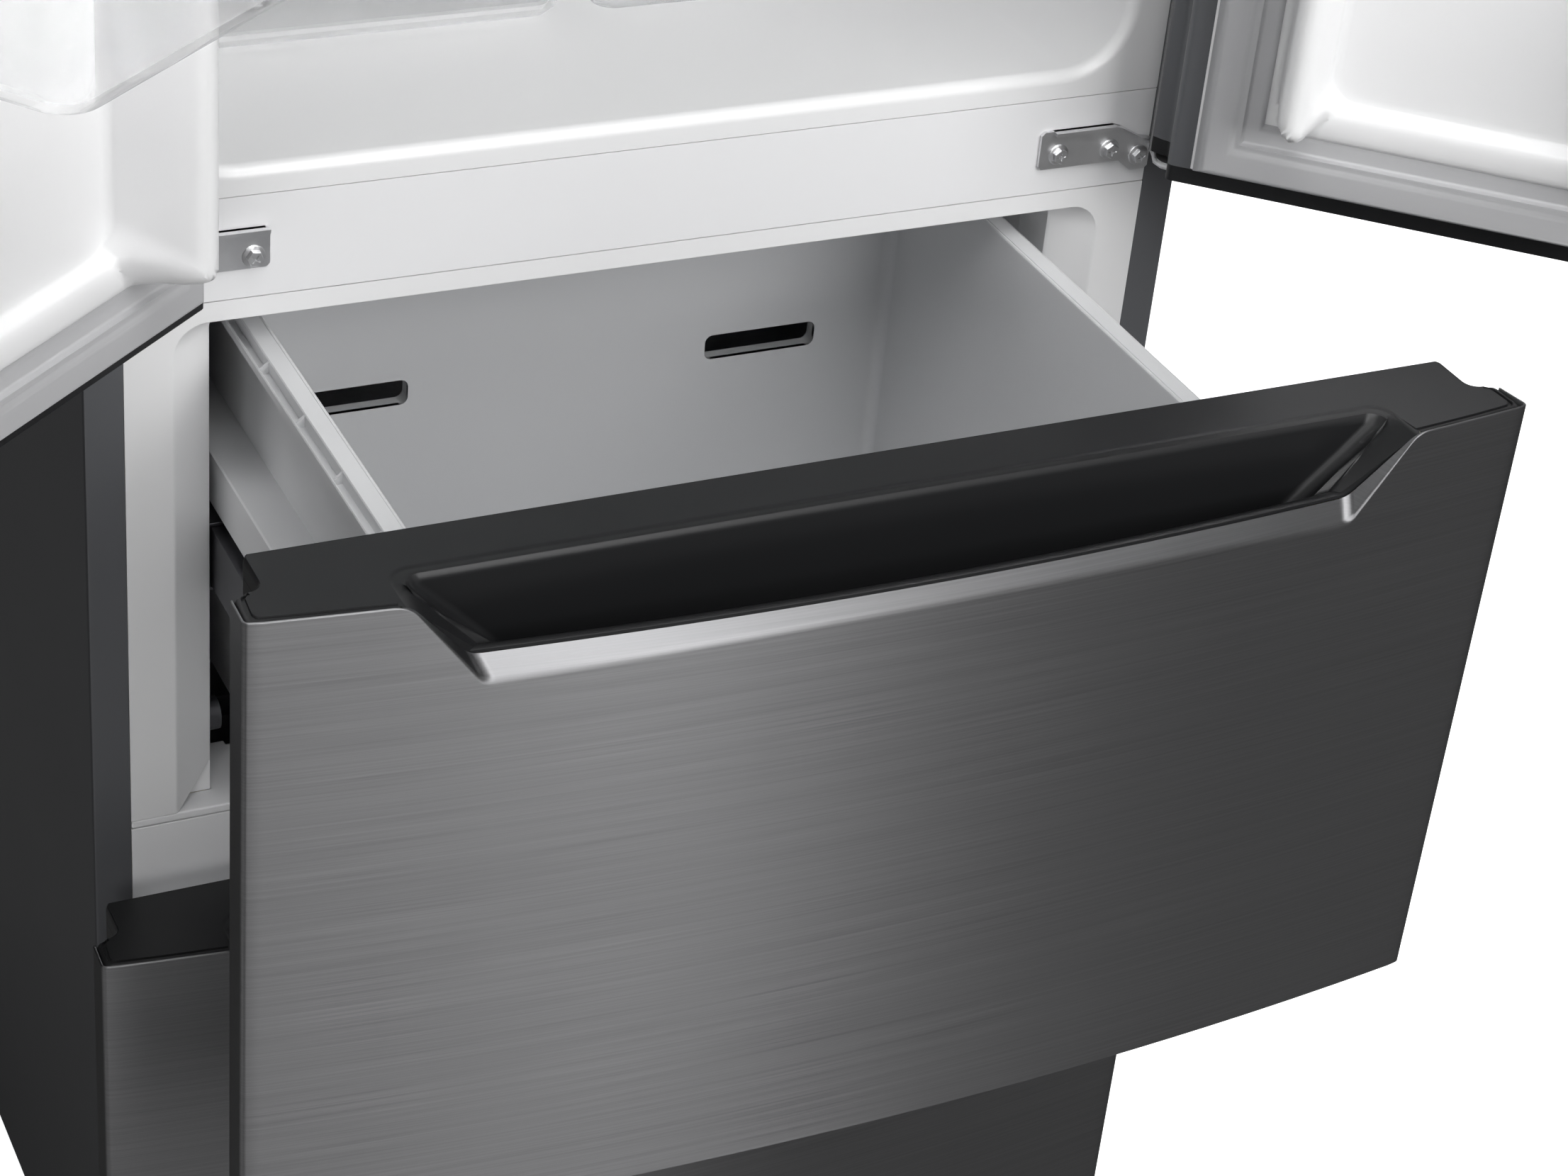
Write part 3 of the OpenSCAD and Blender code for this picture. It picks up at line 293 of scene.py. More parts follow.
@dataclass(frozen=True)
class Finishes:
    """Every finish of the appliance."""

    steel = Finish("brushed_dark_steel", "steel_skin", Surface.BRUSHED, (0.19, 0.19, 0.195),
                   (0.25, 0.25, 0.255), (0.44, 0.52), metal=1.0, grain=2600.0, bump=0.006)
    black = Finish("black_cap_plastic", "black_plastic", Surface.MOULDED, (0.0095, 0.0097, 0.0104),
                   (0.011, 0.0112, 0.012), (0.34, 0.38), grain=2400.0, bump=0.002, shine=0.32)
    # Glossier copy of the cap plastic, made darker as painted shade in the gap by the skin and in the hand
    # recess
    gloss_black_painted_shade = Finish("black_scoop_plastic_painted_shade", "black_plastic", Surface.MOULDED, (0.0045, 0.0045, 0.005),
                         (0.0055, 0.0055, 0.006), (0.14, 0.18), grain=2400.0, bump=0.001, shine=0.36)
    paint = Finish("dark_cabinet_paint", "dark_paint", Surface.SHEET, (0.030, 0.031, 0.034),
                   (0.034, 0.035, 0.039), (0.36, 0.42), coat=0.15, grain=1500.0, bump=0.03)
    # Lighter copy of the cabinet paint for faces that look to the front: painted light, not a paint of its
    # own
    painted_light_front_paint = Finish("flange_paint_painted_light", "dark_paint", Surface.SHEET, (0.094, 0.096, 0.102),
                         (0.100, 0.103, 0.110), (0.36, 0.42), coat=0.15, grain=1500.0, bump=0.03)
    white = Finish("white_liner_plastic", "white_liner", Surface.MOULDED, (0.80, 0.80, 0.805),
                   (0.785, 0.785, 0.79), (0.29, 0.33), grain=420.0, bump=0.01)
    rail = Finish("white_rail_plastic", "white_rail", Surface.MOULDED, (0.80, 0.80, 0.81),
                  (0.785, 0.785, 0.795), (0.32, 0.36), grain=1200.0, bump=0.008)
    basket = Finish("grey_basket_plastic", "grey_plastic", Surface.MOULDED, (0.685, 0.69, 0.70),
                    (0.695, 0.70, 0.71), (0.22, 0.25), grain=2000.0, bump=0.004)
    rubber = Finish("grey_seal_rubber", "seal_rubber", Surface.MOULDED, (0.41, 0.41, 0.42),
                    (0.43, 0.43, 0.44), (0.40, 0.48), grain=1500.0, bump=0.01)
    plated = Finish("plated_hinge_steel", "hinge_steel", Surface.SHEET, (0.66, 0.66, 0.67),
                    (0.76, 0.76, 0.77), (0.34, 0.46), metal=1.0, grain=1600.0, bump=0.02, soil=90.0)
    zinc = Finish("zinc_coated_steel", "zinc_steel", Surface.SHEET, (0.42, 0.43, 0.44),
                  (0.55, 0.56, 0.57), (0.35, 0.5), metal=1.0, grain=800.0, bump=0.03, soil=40.0)
    # Darkened copy of the zinc steel: painted shade on the slides and channels deep in the freezer
    slide = Finish("slide_steel_painted_shade", "zinc_steel", Surface.SHEET, (0.10, 0.10, 0.11),
                   (0.15, 0.15, 0.16), (0.35, 0.5), metal=1.0, grain=800.0, bump=0.03, soil=30.0)
    clear = Finish("clear_bin_plastic", "clear_plastic", Surface.CLEAR, (0.97, 0.975, 0.98),
                   (0.96, 0.965, 0.97), (0.02, 0.04), grain=40.0, bump=0.002)
    glass = Finish("shelf_glass", "shelf_glass", Surface.CLEAR, (0.90, 0.95, 0.93),
                   (0.88, 0.94, 0.92), (0.01, 0.03), grain=30.0, bump=0.001)
    foam = Finish("yellow_foam", "foam", Surface.MOULDED, (0.78, 0.70, 0.42),
                  (0.66, 0.56, 0.30), (0.8, 0.95), grain=420.0, bump=0.4, soil=30.0)
    lamp = Finish("frosted_lamp_cover", "lamp", Surface.GLOWING, (0.92, 0.92, 0.92),
                  (0.88, 0.88, 0.88), (0.3, 0.4), grain=500.0, bump=0.01)
    fins = Finish("thin_aluminium", "aluminium_fins", Surface.SHEET, (0.72, 0.73, 0.74),
                  (0.6, 0.61, 0.62), (0.25, 0.4), metal=1.0, grain=500.0, bump=0.02, soil=50.0)
    motor = Finish("black_compressor_paint", "compressor_paint", Surface.SHEET, (0.02, 0.02, 0.021),
                   (0.03, 0.03, 0.032), (0.3, 0.45), coat=0.3, grain=600.0, bump=0.05)


def arc(cx: float, cy: float, radius: float, start: float, end: float, steps: int) -> list[Flat]:
    """Returns points along an arc, in degrees from start to end."""
    angles = [math.radians(start + (end - start) * i / steps) for i in range(steps + 1)]
    return [(cx + radius * math.cos(a), cy + radius * math.sin(a)) for a in angles]


def circle(cx: float, cy: float, radius: float, sides: int = 24) -> list[Flat]:
    """Returns the points of a closed circle."""
    angles = [math.tau * k / sides for k in range(sides)]
    return [(cx + radius * math.cos(a), cy + radius * math.sin(a)) for a in angles]


def at_y(outline: Iterable[Flat], y: float) -> list[Point]:
    """Stands a flat outline of x and z at a depth."""
    return [(x, y, z) for x, z in outline]


def at_z(outline: Iterable[Flat], z: float) -> list[Point]:
    """Lays a flat outline of x and y at a height."""
    return [(x, y, z) for x, y in outline]


def on_side(side: int, outline: Iterable[Flat]) -> list[Flat]:
    """Returns an outline drawn for the right side, mirrored in x for the left."""
    return [(side * x, other) for x, other in outline]


@dataclass(frozen=True)
class Rect:
    """A flat rectangle, by its ends along two axes."""

    u0: float
    u1: float
    v0: float
    v1: float

    def rounded(self, radius: float, grow: float = 0.0, steps: int = 6) -> list[Flat]:
        """Returns the outline with rounded corners, anticlockwise, grown on all four sides."""
        u0, u1 = self.u0 - grow + radius, self.u1 + grow - radius
        v0, v1 = self.v0 - grow + radius, self.v1 + grow - radius
        corners = ((u0, v0, 180), (u1, v0, 270), (u1, v1, 0), (u0, v1, 90))
        return [point for u, v, start in corners for point in arc(u, v, radius, start, start + 90, steps)]


def filleted(points: Sequence[Flat], radii: Sequence[float], steps: int) -> list[Flat]:
    """Rounds the inner corners of an open line.

    Args:
        points: The line's corners.
        radii: A radius for each corner, unused at both ends.
        steps: Segments in each rounding.

    Returns:
        The rounded line.
    """
    out = [points[0]]
    for before, here, after, radius in zip(points, points[1:], points[2:], radii[1:]):
        corner = Vector(here)
        a, b = (Vector(before) - corner).normalized(), (Vector(after) - corner).normalized()
        reach = radius / math.tan(a.angle(b) / 2)
        start, end = corner + a * reach, corner + b * reach
        for i in range(steps + 1):
            t = i / steps
            out.append(tuple((1 - t) ** 2 * start + 2 * t * (1 - t) * corner + t * t * end))
    return out + [points[-1]]


def resampled(points: Sequence[Flat], longest: float) -> list[Flat]:
    """Splits the long stretches of a line so that none is longer than a length."""
    out = [points[0]]
    for a, b in zip(points, points[1:]):
        count = max(1, math.ceil(math.dist(a, b) / longest))
        out += [tuple(a[k] + (b[k] - a[k]) * i / count for k in range(len(a))) for i in range(1, count + 1)]
    return out


def smooth_step(value: float, low: float, high: float) -> float:
    """Returns 0 below low, 1 above high and a soft rise between."""
    t = min(max((value - low) / (high - low), 0.0), 1.0)
    return t * t * (3 - 2 * t)


class Builder:
    """Collects the faces of one piece in millimetres and turns them into an object."""

    def __init__(self, place: Matrix | None = None) -> None:
        """Starts an empty mesh that is placed by a matrix in millimetres."""
        self.bm = bmesh.new()
        self.place = place or Matrix.Identity(4)
        self.slot = 0

    def ring(self, points: Iterable[Point]) -> list[BMVert]:
        """Adds points and returns their vertices."""
        return [self.bm.verts.new(p) for p in points]

    def face(self, verts: Sequence[BMVert]) -> None:
        """Adds one face in the current material slot."""
        try:
            self.bm.faces.new(verts).material_index = self.slot
        except ValueError:
            log.debug("face skipped")

    def bridge(self, a: Sequence[BMVert], b: Sequence[BMVert], closed: bool = True) -> None:
        """Joins two rings of as many vertices with quads."""
        count = len(a)
        for i in range(count if closed else count - 1):
            j = (i + 1) % count
            self.face((a[i], a[j], b[j], b[i]))

    def loft(self, rings: Sequence[Sequence[Point]], first: bool = True, last: bool = True) -> None:
        """Skins closed rings in order, with the first and the last ring filled or left open."""
        made = [self.ring(r) for r in rings]
        for a, b in zip(made, made[1:]):
            self.bridge(a, b)
        if first:
            self.face(made[0])
        if last:
            self.face(made[-1])

    def prism(self, outline: Sequence[Flat], low: float, high: float, axis: str = "z") -> None:
        """Pushes a flat outline, its points in the order x, y, z, along the axis that is left."""
        order = {"x": (2, 0, 1), "y": (0, 2, 1), "z": (0, 1, 2)}[axis]
        self.loft([[tuple((*p, h)[k] for k in order) for p in outline] for h in (low, high)])

    def block(self, low: Point, high: Point) -> None:
        """Adds a box between two corners."""
        corners = [(low[0], low[1]), (high[0], low[1]), (high[0], high[1]), (low[0], high[1])]
        self.prism(corners, low[2], high[2])

    def frame(self, rect: Rect, profile: Sequence[Flat], depth: float = 0.0) -> None:
        """Sweeps a seal's profile round an upright rectangle, with mitred corners.

        Args:
            rect: Outer edge of the frame in x and z.
            profile: Distance in from that edge and depth, round the section.
            depth: Where the profile's depths start from.
        """
        rings = []
        for inset, y in profile:
            u0, u1, v0, v1 = rect.u0 + inset, rect.u1 - inset, rect.v0 + inset, rect.v1 - inset
            rings.append(at_y([(u0, v0), (u1, v0), (u1, v1), (u0, v1)], depth + y))
        self.loft(rings + rings[:1], False, False)

    def tube(self, path: Sequence[Point], radius: float, sides: int) -> None:
        """Adds a round bar along a path, with closed ends."""
        rings = []
        for i, p in enumerate(path):
            ahead = Vector(path[min(i + 1, len(path) - 1)]) - Vector(path[max(i - 1, 0)])
            turn = ahead.to_track_quat("Z", "Y")
            edge = at_z(circle(0, 0, radius, sides), 0)
            rings.append([tuple(Vector(p) + turn @ Vector(spot)) for spot in edge])
        self.loft(rings)

    def copy_of(self, node: str) -> None:
        """Adds a merged copy of a CAD node's mesh, with its flat faces joined."""
        self.bm.from_mesh(bpy.data.objects[node].data)
        self.bm.transform(TO_METRES.inverted())
        bmesh.ops.remove_doubles(self.bm, verts=self.bm.verts, dist=0.01)
        flat = math.radians(1.0)
        bmesh.ops.dissolve_limit(self.bm, angle_limit=flat, verts=self.bm.verts, edges=self.bm.edges)

    def soften(self, width: float, steps: int, above: float = 35.0) -> None:
        """Rounds the edges that are sharper than an angle."""
        limit = math.radians(above)
        sharp = [e for e in self.bm.edges if len(e.link_faces) == 2 and e.calc_face_angle(0.0) > limit]
        if sharp:
            bmesh.ops.bevel(self.bm, geom=sharp, offset=width, segments=steps, profile=0.5, affect="EDGES",
                            clamp_overlap=True)

    def merge(self) -> None:
        """Joins the vertices that lie on each other."""
        bmesh.ops.remove_doubles(self.bm, verts=self.bm.verts, dist=0.005)

    def to_mesh(self, name: str, outward: bool = True) -> Mesh:
        """Puts the shape in place in metres, with its faces turned outwards, and returns it as a mesh."""
        self.bm.transform(TO_METRES @ self.place)
        if outward:
            bmesh.ops.recalc_face_normals(self.bm, faces=self.bm.faces)
        mesh = bpy.data.meshes.new(name)
        self.bm.to_mesh(mesh)
        self.bm.free()
        return mesh

    def make(self, name: str, body: str, finishes: Sequence[Finish], replaces: Sequence[str] = (),
             smooth: float = 32.0, outward: bool = True) -> Object:
        """Turns the mesh into a finished piece.

        Args:
            name: Name of the piece.
            body: CAD body that it rides on.
            finishes: Finish of each material slot.
            replaces: CAD nodes that it stands for.
            smooth: Angle under which edges are shaded smooth.
            outward: Whether the faces are turned outwards here.

        Returns:
            The object.
        """
        self.merge()
        bmesh.ops.dissolve_degenerate(self.bm, dist=0.001, edges=self.bm.edges)
        return finished(self.to_mesh(name, outward), name, body, finishes, replaces, smooth)


def linked(name: str, data: ID) -> Object:
    """Returns a new object of the scene that shows some data."""
    made = bpy.data.objects.new(name, data)
    bpy.context.scene.collection.objects.link(made)
    return made


def evaluated(piece: Object) -> Mesh:
    """Returns a plain mesh of an object with its modifiers applied."""
    graph = bpy.context.evaluated_depsgraph_get()
    return bpy.data.meshes.new_from_object(piece.evaluated_get(graph))


def shade(piece: Object, smooth: float) -> None:
    """Shades a piece smooth up to an angle, with its large faces kept flat."""
    piece.data.shade_smooth()
    piece.data.set_sharp_from_angle(angle=math.radians(smooth))
    even = piece.modifiers.new("even_shading", "WEIGHTED_NORMAL")
    even.keep_sharp = True


def finished(mesh: Mesh, name: str, body: str, finishes: Sequence[Finish],
             replaces: Sequence[str] = (), smooth: float = 32.0) -> Object:
    """Links a mesh as a piece that rides on a body, with its materials.

    Args:
        mesh: Mesh in metres, in place.
        name: Name of the piece.
        body: CAD body that it rides on.
        finishes: Finish of each material slot.
        replaces: CAD nodes that it stands for.
        smooth: Angle under which edges are shaded smooth.

    Returns:
        The object.
    """
    piece = linked(name, mesh)
    mesh.materials.clear()
    for finish in finishes:
        mesh.materials.append(finish.material())
    shade(piece, smooth)
    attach(piece, body)
    if replaces:
        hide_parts(*replaces)
    log.info("%s: %d faces", name, len(mesh.polygons))
    return piece


def softened(node: str, name: str, finish: Finish, width: float, steps: int = 2,
             body: str = "root") -> Object:
    """Replaces a CAD node by a copy with rounded edges.

    Args:
        node: CAD node.
        name: Name of the new piece.
        finish: Its finish.
        width: Size of the rounding.
        steps: Segments of the rounding.
        body: CAD body that it rides on.

    Returns:
        The object.
    """
    builder = Builder()
    builder.copy_of(node)
    builder.soften(width, steps)
    return builder.make(name, body, [finish], [node])


def carved(piece: Object, cutter: Builder) -> None:
    """Cuts a shape, in the same place as the piece, out of it for good."""
    tool = linked("cutter", cutter.to_mesh("cutter"))
    piece.modifiers.clear()
    cut = piece.modifiers.new("cut", "BOOLEAN")
    cut.operation = "DIFFERENCE"
    cut.object = tool
    piece.data = evaluated(piece)
    piece.modifiers.clear()
    bpy.data.objects.remove(tool)
    shade(piece, 32.0)


def look_to(piece: Object, axis: int, way: int, past: float = 0.0) -> None:
    """Turns an open sheet's faces so that its widest face across an axis looks one way.

    Args:
        piece: The sheet.
        axis: Y_AXIS or Z_AXIS.
        way: 1 to look up the axis, -1 to look down it.
        past: The widest face is sought beyond this place on the axis, in metres.
    """
    mesh = bmesh.new()
    mesh.from_mesh(piece.data)
    bmesh.ops.recalc_face_normals(mesh, faces=mesh.faces)
    beyond = [face for face in mesh.faces if face.calc_center_median()[axis] > past]
    widest = max(beyond, key=lambda face: face.calc_area() * abs(face.normal[axis]))
    if widest.normal[axis] * way < 0:
        bmesh.ops.reverse_faces(mesh, faces=mesh.faces)
    mesh.to_mesh(piece.data)
    mesh.free()


class Repeats:
    """Geometry Nodes trees that lay out copies of a template."""

    def tree(self, name: str, ins: dict[str, str]) -> NodeTree:
        """Starts a tree with a geometry, its own named inputs and a material."""
        ins = {"Geometry": "Geometry", **ins, "Material": "Material"}
        return new_group(name, "GeometryNodeTree", ins, {"Geometry": "Geometry"})

    def close(self, tree: NodeTree, copies: NodeSocket) -> None:
        """Ends a tree in Realize Instances and Set Material."""
        real = add(tree, "GeometryNodeRealizeInstances", {"Geometry": copies}).outputs["Geometry"]
        material = tree.nodes["Group Input"].outputs["Material"]
        dress = add(tree, "GeometryNodeSetMaterial", {"Geometry": real, "Material": material})
        feed(tree, tree.nodes["Group Output"], {"Geometry": dress.outputs["Geometry"]})

    def row(self) -> NodeTree:
        """Makes the tree that repeats its own mesh along a straight line."""
        tree = self.tree("row_of_copies", {"Count": "Int", "Step": "Vector"})
        ins = tree.nodes["Group Input"].outputs
        line = add(tree, "GeometryNodeMeshLine", {"Count": ins["Count"], "Offset": ins["Step"]})
        inputs = {"Points": line.outputs["Mesh"], "Instance": ins["Geometry"]}
        put = add(tree, "GeometryNodeInstanceOnPoints", inputs)
        self.close(tree, put.outputs["Instances"])
        return tree

    def on_points(self) -> NodeTree:
        """Makes the tree that puts a template on each point, turned at random about its axis."""
        tree = self.tree("copies_on_points", {"Template": "Object", "Tilt": "Rotation", "Seed": "Int"})
        ins = tree.nodes["Group Input"].outputs
        highest = 3
        shape = add(tree, "GeometryNodeObjectInfo", {"Object": ins["Template"]}).outputs["Geometry"]
        limits = {highest: math.tau, "Seed": ins["Seed"]}
        chance = add(tree, "FunctionNodeRandomValue", limits, data_type="FLOAT")
        angle = add(tree, "FunctionNodeAxisAngleToRotation", {"Angle": chance.outputs[1]}).outputs[0]
        turn = add(tree, "FunctionNodeRotateRotation", {0: ins["Tilt"], 1: angle}, rotation_space="LOCAL")
        put = add(tree, "GeometryNodeInstanceOnPoints",
                  {"Points": ins["Geometry"], "Instance": shape, "Rotation": turn.outputs[0]})
        self.close(tree, put.outputs["Instances"])
        return tree

    def apply(self, mesh: Mesh, tree: NodeTree, values: dict[str, object]) -> Mesh:
        """Runs a tree on a mesh.

        Args:
            mesh: The tree's own geometry.
            tree: The tree.
            values: Value of each named input.

        Returns:
            The plain mesh that the tree gives.
        """
        holder = linked("holder", mesh)
        modifier = holder.modifiers.new("copies", "NODES")
        modifier.node_group = tree
        for item in tree.interface.items_tree:
            if item.in_out == "INPUT" and item.name in values:
                modifier[item.identifier] = values[item.name]
        result = evaluated(holder)
        bpy.data.objects.remove(holder)
        return result

    def along(self, template: Builder, name: str, body: str, finish: Finish, count: int, step: Point) -> None:
        """Makes a piece that repeats a template in a row.

        Args:
            template: Shape of the first copy, in place.
            name: Name of the piece.
            body: CAD body that it rides on.
            finish: Its finish.
            count: How many copies.
            step: From one copy to the next, in millimetres.
        """
        offset = template.place.to_3x3() @ Vector(step)
        template.merge()
        mesh = template.to_mesh(name + "_one")
        values = {"Count": count, "Step": tuple(offset * 0.001), "Material": finish.material()}
        tree = bpy.data.node_groups.get("row_of_copies") or self.row()
        finished(self.apply(mesh, tree, values), name, body, [finish])

    def screws(self, points: Sequence[Point], name: str, tilt: float, seed: int, finish: Finish,
               replaces: Sequence[str] = ()) -> None:
        """Makes flange screws of the cabinet on points, each turned its own way.

        Args:
            points: Seats of the screws, in millimetres.
            name: Name of the piece.
            tilt: Turn about x that points +Z along the screws, in degrees.
            seed: Seed of the random turns.
            finish: Their finish.
            replaces: CAD nodes that they stand for.
        """
        template = bpy.data.objects.get("screw_template") or self.screw_template()
        mesh = bpy.data.meshes.new(name + "_points")
        mesh.from_pydata([tuple(c * 0.001 for c in p) for p in points], [], [])
        turned = Matrix.Rotation(math.radians(tilt), 4, "X").to_euler()
        values = {"Template": template, "Tilt": tuple(turned), "Seed": seed, "Material": finish.material()}
        tree = bpy.data.node_groups.get("copies_on_points") or self.on_points()
        finished(self.apply(mesh, tree, values), name, "root", [finish], replaces)

    def screw_template(self) -> Object:
        """Returns the hexagon flange screw with a cross recess that the screws are copies of."""
        sides, flange, across, cross, head = 24, 6.5, 8.0, 2.5, 4.2
        angles = [math.tau * k / sides for k in range(sides)]
        sixth = math.pi / 3
        plate = [flange] * sides
        nut = [across / 2 / math.cos((a + sixth / 2) % sixth - sixth / 2) for a in angles]
        star = [cross * max(abs(math.cos(2 * a)) ** 3, 0.34) for a in angles]
        levels = ((plate, 1.0, -0.4), (plate, 1.0, 0.35), (plate, 0.94, 0.75), (nut, 1.03, 1.15),
                  (nut, 1.0, 1.3),
                  (nut, 1.0, head - 0.55), (nut, 0.93, head - 0.12), (nut, 0.84, head),
                  (star, 1.22, head - 0.05),
                  (star, 1.0, head - 0.3), (star, 0.7, head - 1.5))
        rings = []
        for edge, share, z in levels:
            spots = [(share * r, a) for a, r in zip(angles, edge)]
            rings.append([(r * math.cos(a), r * math.sin(a), z) for r, a in spots])
        builder = Builder()
        builder.loft(rings)
        return bpy.data.objects.new("screw_template", builder.to_mesh("screw_template"))


REPEATS = Repeats()


@dataclass
class FrontShape:
    """Plan of a door or drawer front, its rear on y = 0."""

    half: float = 350.0
    edge_d: float = 59.0
    bow: float = 22.0
    notch_y: float = 24.0
    notch_r: float = 8.0
    lip_r: float = 3.0
    corner_r: float = 4.0
    rear_r: float = 4.0

    def face_y(self, x: float, inset: float = 0.0) -> float:
        """Returns the depth of the bowed face at x."""
        return -(self.edge_d - inset + self.bow * (1 - (x / self.half) ** 2))

    def side_lip(self, inset: float, start: float, steps: int) -> list[Flat]:
        """Returns the rounding of the right end's side lip, from an angle round to the side."""
        away = self.notch_y + self.notch_r + 2 + self.lip_r
        return arc(self.half - inset - 1 - self.lip_r, -away, self.lip_r, start, 0, steps)

    def corner(self, inset: float) -> list[Flat]:
        """Returns the rounding between the right end and the face."""
        wide = self.half - inset
        return arc(wide - self.corner_r, self.face_y(wide, inset) + self.corner_r, self.corner_r, 0, -74, 5)

    def front_corner(self, inset: float) -> list[Flat]:
        """Returns the right end from its side lip round to the face."""
        return self.side_lip(inset, 40, 3) + self.corner(inset)

    def rear_side(self) -> list[Flat]:
        """Returns the right end from its rear corner to the hollow's front end."""
        back = arc(HALF_W - self.rear_r, -self.rear_r, self.rear_r, 90, 0, 5)
        return back + arc(HALF_W + self.notch_r, -self.notch_y, self.notch_r, 180, 270, 7)

    def end(self, inset: float) -> list[Flat]:
        """Returns the whole right end, from its rear corner to the face."""
        return self.rear_side() + self.side_lip(inset, 90, 5) + self.corner(inset)

    def face(self, start: float, end: float, inset: float, count: int = 28) -> list[Flat]:
        """Returns points along the bowed face from one x to another."""
        xs = [start + (end - start) * i / count for i in range(count + 1)]
        return [(x, self.face_y(x, inset)) for x in xs]


FRONT = FrontShape()

# Steps of half a ring round the hand recess: rear, corner, level side, slanted side and front
REAR_STEPS, CORNER_STEPS, SIDE_STEPS, SLANT_STEPS, FRONT_STEPS = 9, 7, 4, 9, 12

# Material slots of the drawer's cap: the matt black, and a glossier black made darker as painted shade in the
# gap by the skin and in the deep scoop
MATT, GLOSSY_PAINTED_SHADE = 0, 1


@dataclass
class Drawer:
    """One freezer drawer: bowed steel front with a scooped handle, and its basket."""

    level: int
    skin_h: float = 372.6
    skin_t: float = 1.2
    cap_t: float = 10.0
    cap_top: float = -1.4
    notch_top: float = 274.5
    notch_low: float = 238.0
    notch_drop: float = 46.5
    notch_sag: float = 5.5
    lip: float = 10.5
    lip_rise: float = 10.0
    lip_out: float = 4.0
    scoop_back: float = 31.0
    scoop_h: float = 60.0
    seal_low: float = -368.4
    seal_high: float = -12.4
    wall: float = 3.0
    basket_half: float = 223.5
    basket_d: float = 410.0
    basket_top: float = -50.4
    basket_h: float = 288.0
    ledge_drop: float = 85.0
    slot_x: float = 136.0
    slot_half: float = 38.0
    slot_drop: Flat = (133.0, 116.0)
    slot_r: float = 5.0
    web_out: float = 246.0
    web_low: float = -217.0
    gussets: int = 7
    gusset_pitch: float = 60.0
    webs: int = 5
    web_pitch: float = 80.0

    def __post_init__(self) -> None:
        """Works out the drawer's place, body and name."""
        self.place = Matrix.Translation((0, -DRAWER_GAP - PULLED[self.level],
                                         SKIN_TOP - self.level * DRAWER_PITCH))
        self.name = LEVEL_NAME[self.level]
        self.body = f"{self.name}_drawer"

    def make(self, builder: Builder, part: str, finishes: Sequence[Finish], nodes: Sequence[str] = (),
             **shading: float) -> Object:
        """Makes a piece of this drawer that stands for some of its CAD nodes."""
        nodes = [f"{self.name}_{node}" for node in nodes]
        return builder.make(f"{self.name}_{part}", self.body, finishes, nodes, **shading)

    def dress(self, node: str, part: str, finish: Finish, width: float, steps: int = 2) -> Object:
        """Replaces one of the drawer's CAD nodes by a copy with rounded edges."""
        return softened(f"{self.name}_{node}", f"{self.name}_{part}", finish, width, steps, self.body)

    def bowed(self, x: float) -> float:
        """Returns how much higher the notch's edge lies at x than at its ends."""
        return self.notch_sag * max(0.0, 1 - (x / self.notch_low) ** 2)

    def notch_line(self) -> list[Point]:
        """Returns the skin's upper edge as x, z and how wide the bright lip is there, from 0 to 1."""
        drop = self.notch_drop
        corners = [(FRONT.half - 9, 0.0), (self.notch_top, 0.0), (self.notch_low, -drop), (0.0, -drop)]
        line = resampled(filleted(corners, (0, 14, 13, 0), 10), 24.0)
        half = [(x, z + self.bowed(x), min(1.0, -z / drop)) for x, z in line]
        return half + [(-x, z, t) for x, z, t in reversed(half[:-1])]

    def lip_reach(self, x: float, t: float) -> Vector:
        """Returns the way from the skin's edge to the lip's inner edge."""
        outward = max(-1.0, min(1.0, x / self.notch_low))
        return Vector((self.lip_out * outward * t, self.lip * t, (self.lip_rise - self.bowed(x)) * t))

    def skin(self) -> None:
        """Builds the brushed skin with its notch, its rolled edge and the slanted bright lip."""
        builder = Builder(self.place)
        side = [(x, y, smooth_step(-y, 42.0, 57.0) * 1.6 - 1.6, 0.0) for x, y in FRONT.front_corner(0.0)]
        face = [(x, FRONT.face_y(x), z, t) for x, z, t in self.notch_line()]
        path = side + face + [(-x, y, z, t) for x, y, z, t in reversed(side)]
        columns = []
        for i, (x, y, z, t) in enumerate(path):
            ahead, behind = path[min(i + 1, len(path) - 1)], path[max(i - 1, 0)]
            along = Vector((ahead[0] - behind[0], ahead[1] - behind[1], 0.0)).normalized()
            inward = Vector((-along.y, along.x, 0.0))
            if inward.dot(Vector((-x, 40.0 - y, 0.0))) < 0:
                inward = -inward
            edge = Vector((x, y, z))
            fold = self.lip_reach(x, t) + inward * self.skin_t * (1 - t)
            radius = 0.7 + 2.2 * t
            start, stop = edge - Vector((0, 0, radius)), edge + fold * min(0.5, radius / fold.length)
            column = [Vector((x, y, -self.skin_h + 0.5)), Vector((x, y, -self.skin_h * 0.5))]
            for s in (0.0, 0.25, 0.5, 0.75, 1.0):
                column.append(start * (1 - s) ** 2 + edge * 2 * s * (1 - s) + stop * s * s)
            column += [edge + fold * 0.9, edge + fold]
            column.append(edge + fold + Vector((0, 0.4 * t, -1.2)) + inward * 0.2)
            back = edge + inward
            column += [Vector((back.x, back.y, z - 9.0)), Vector((back.x, back.y, -self.skin_h))]
            columns.append([tuple(p) for p in column])
        builder.loft(columns)
        self.make(builder, "front_skin", [Finishes.steel], ["drawer_skin"], smooth=30.0)

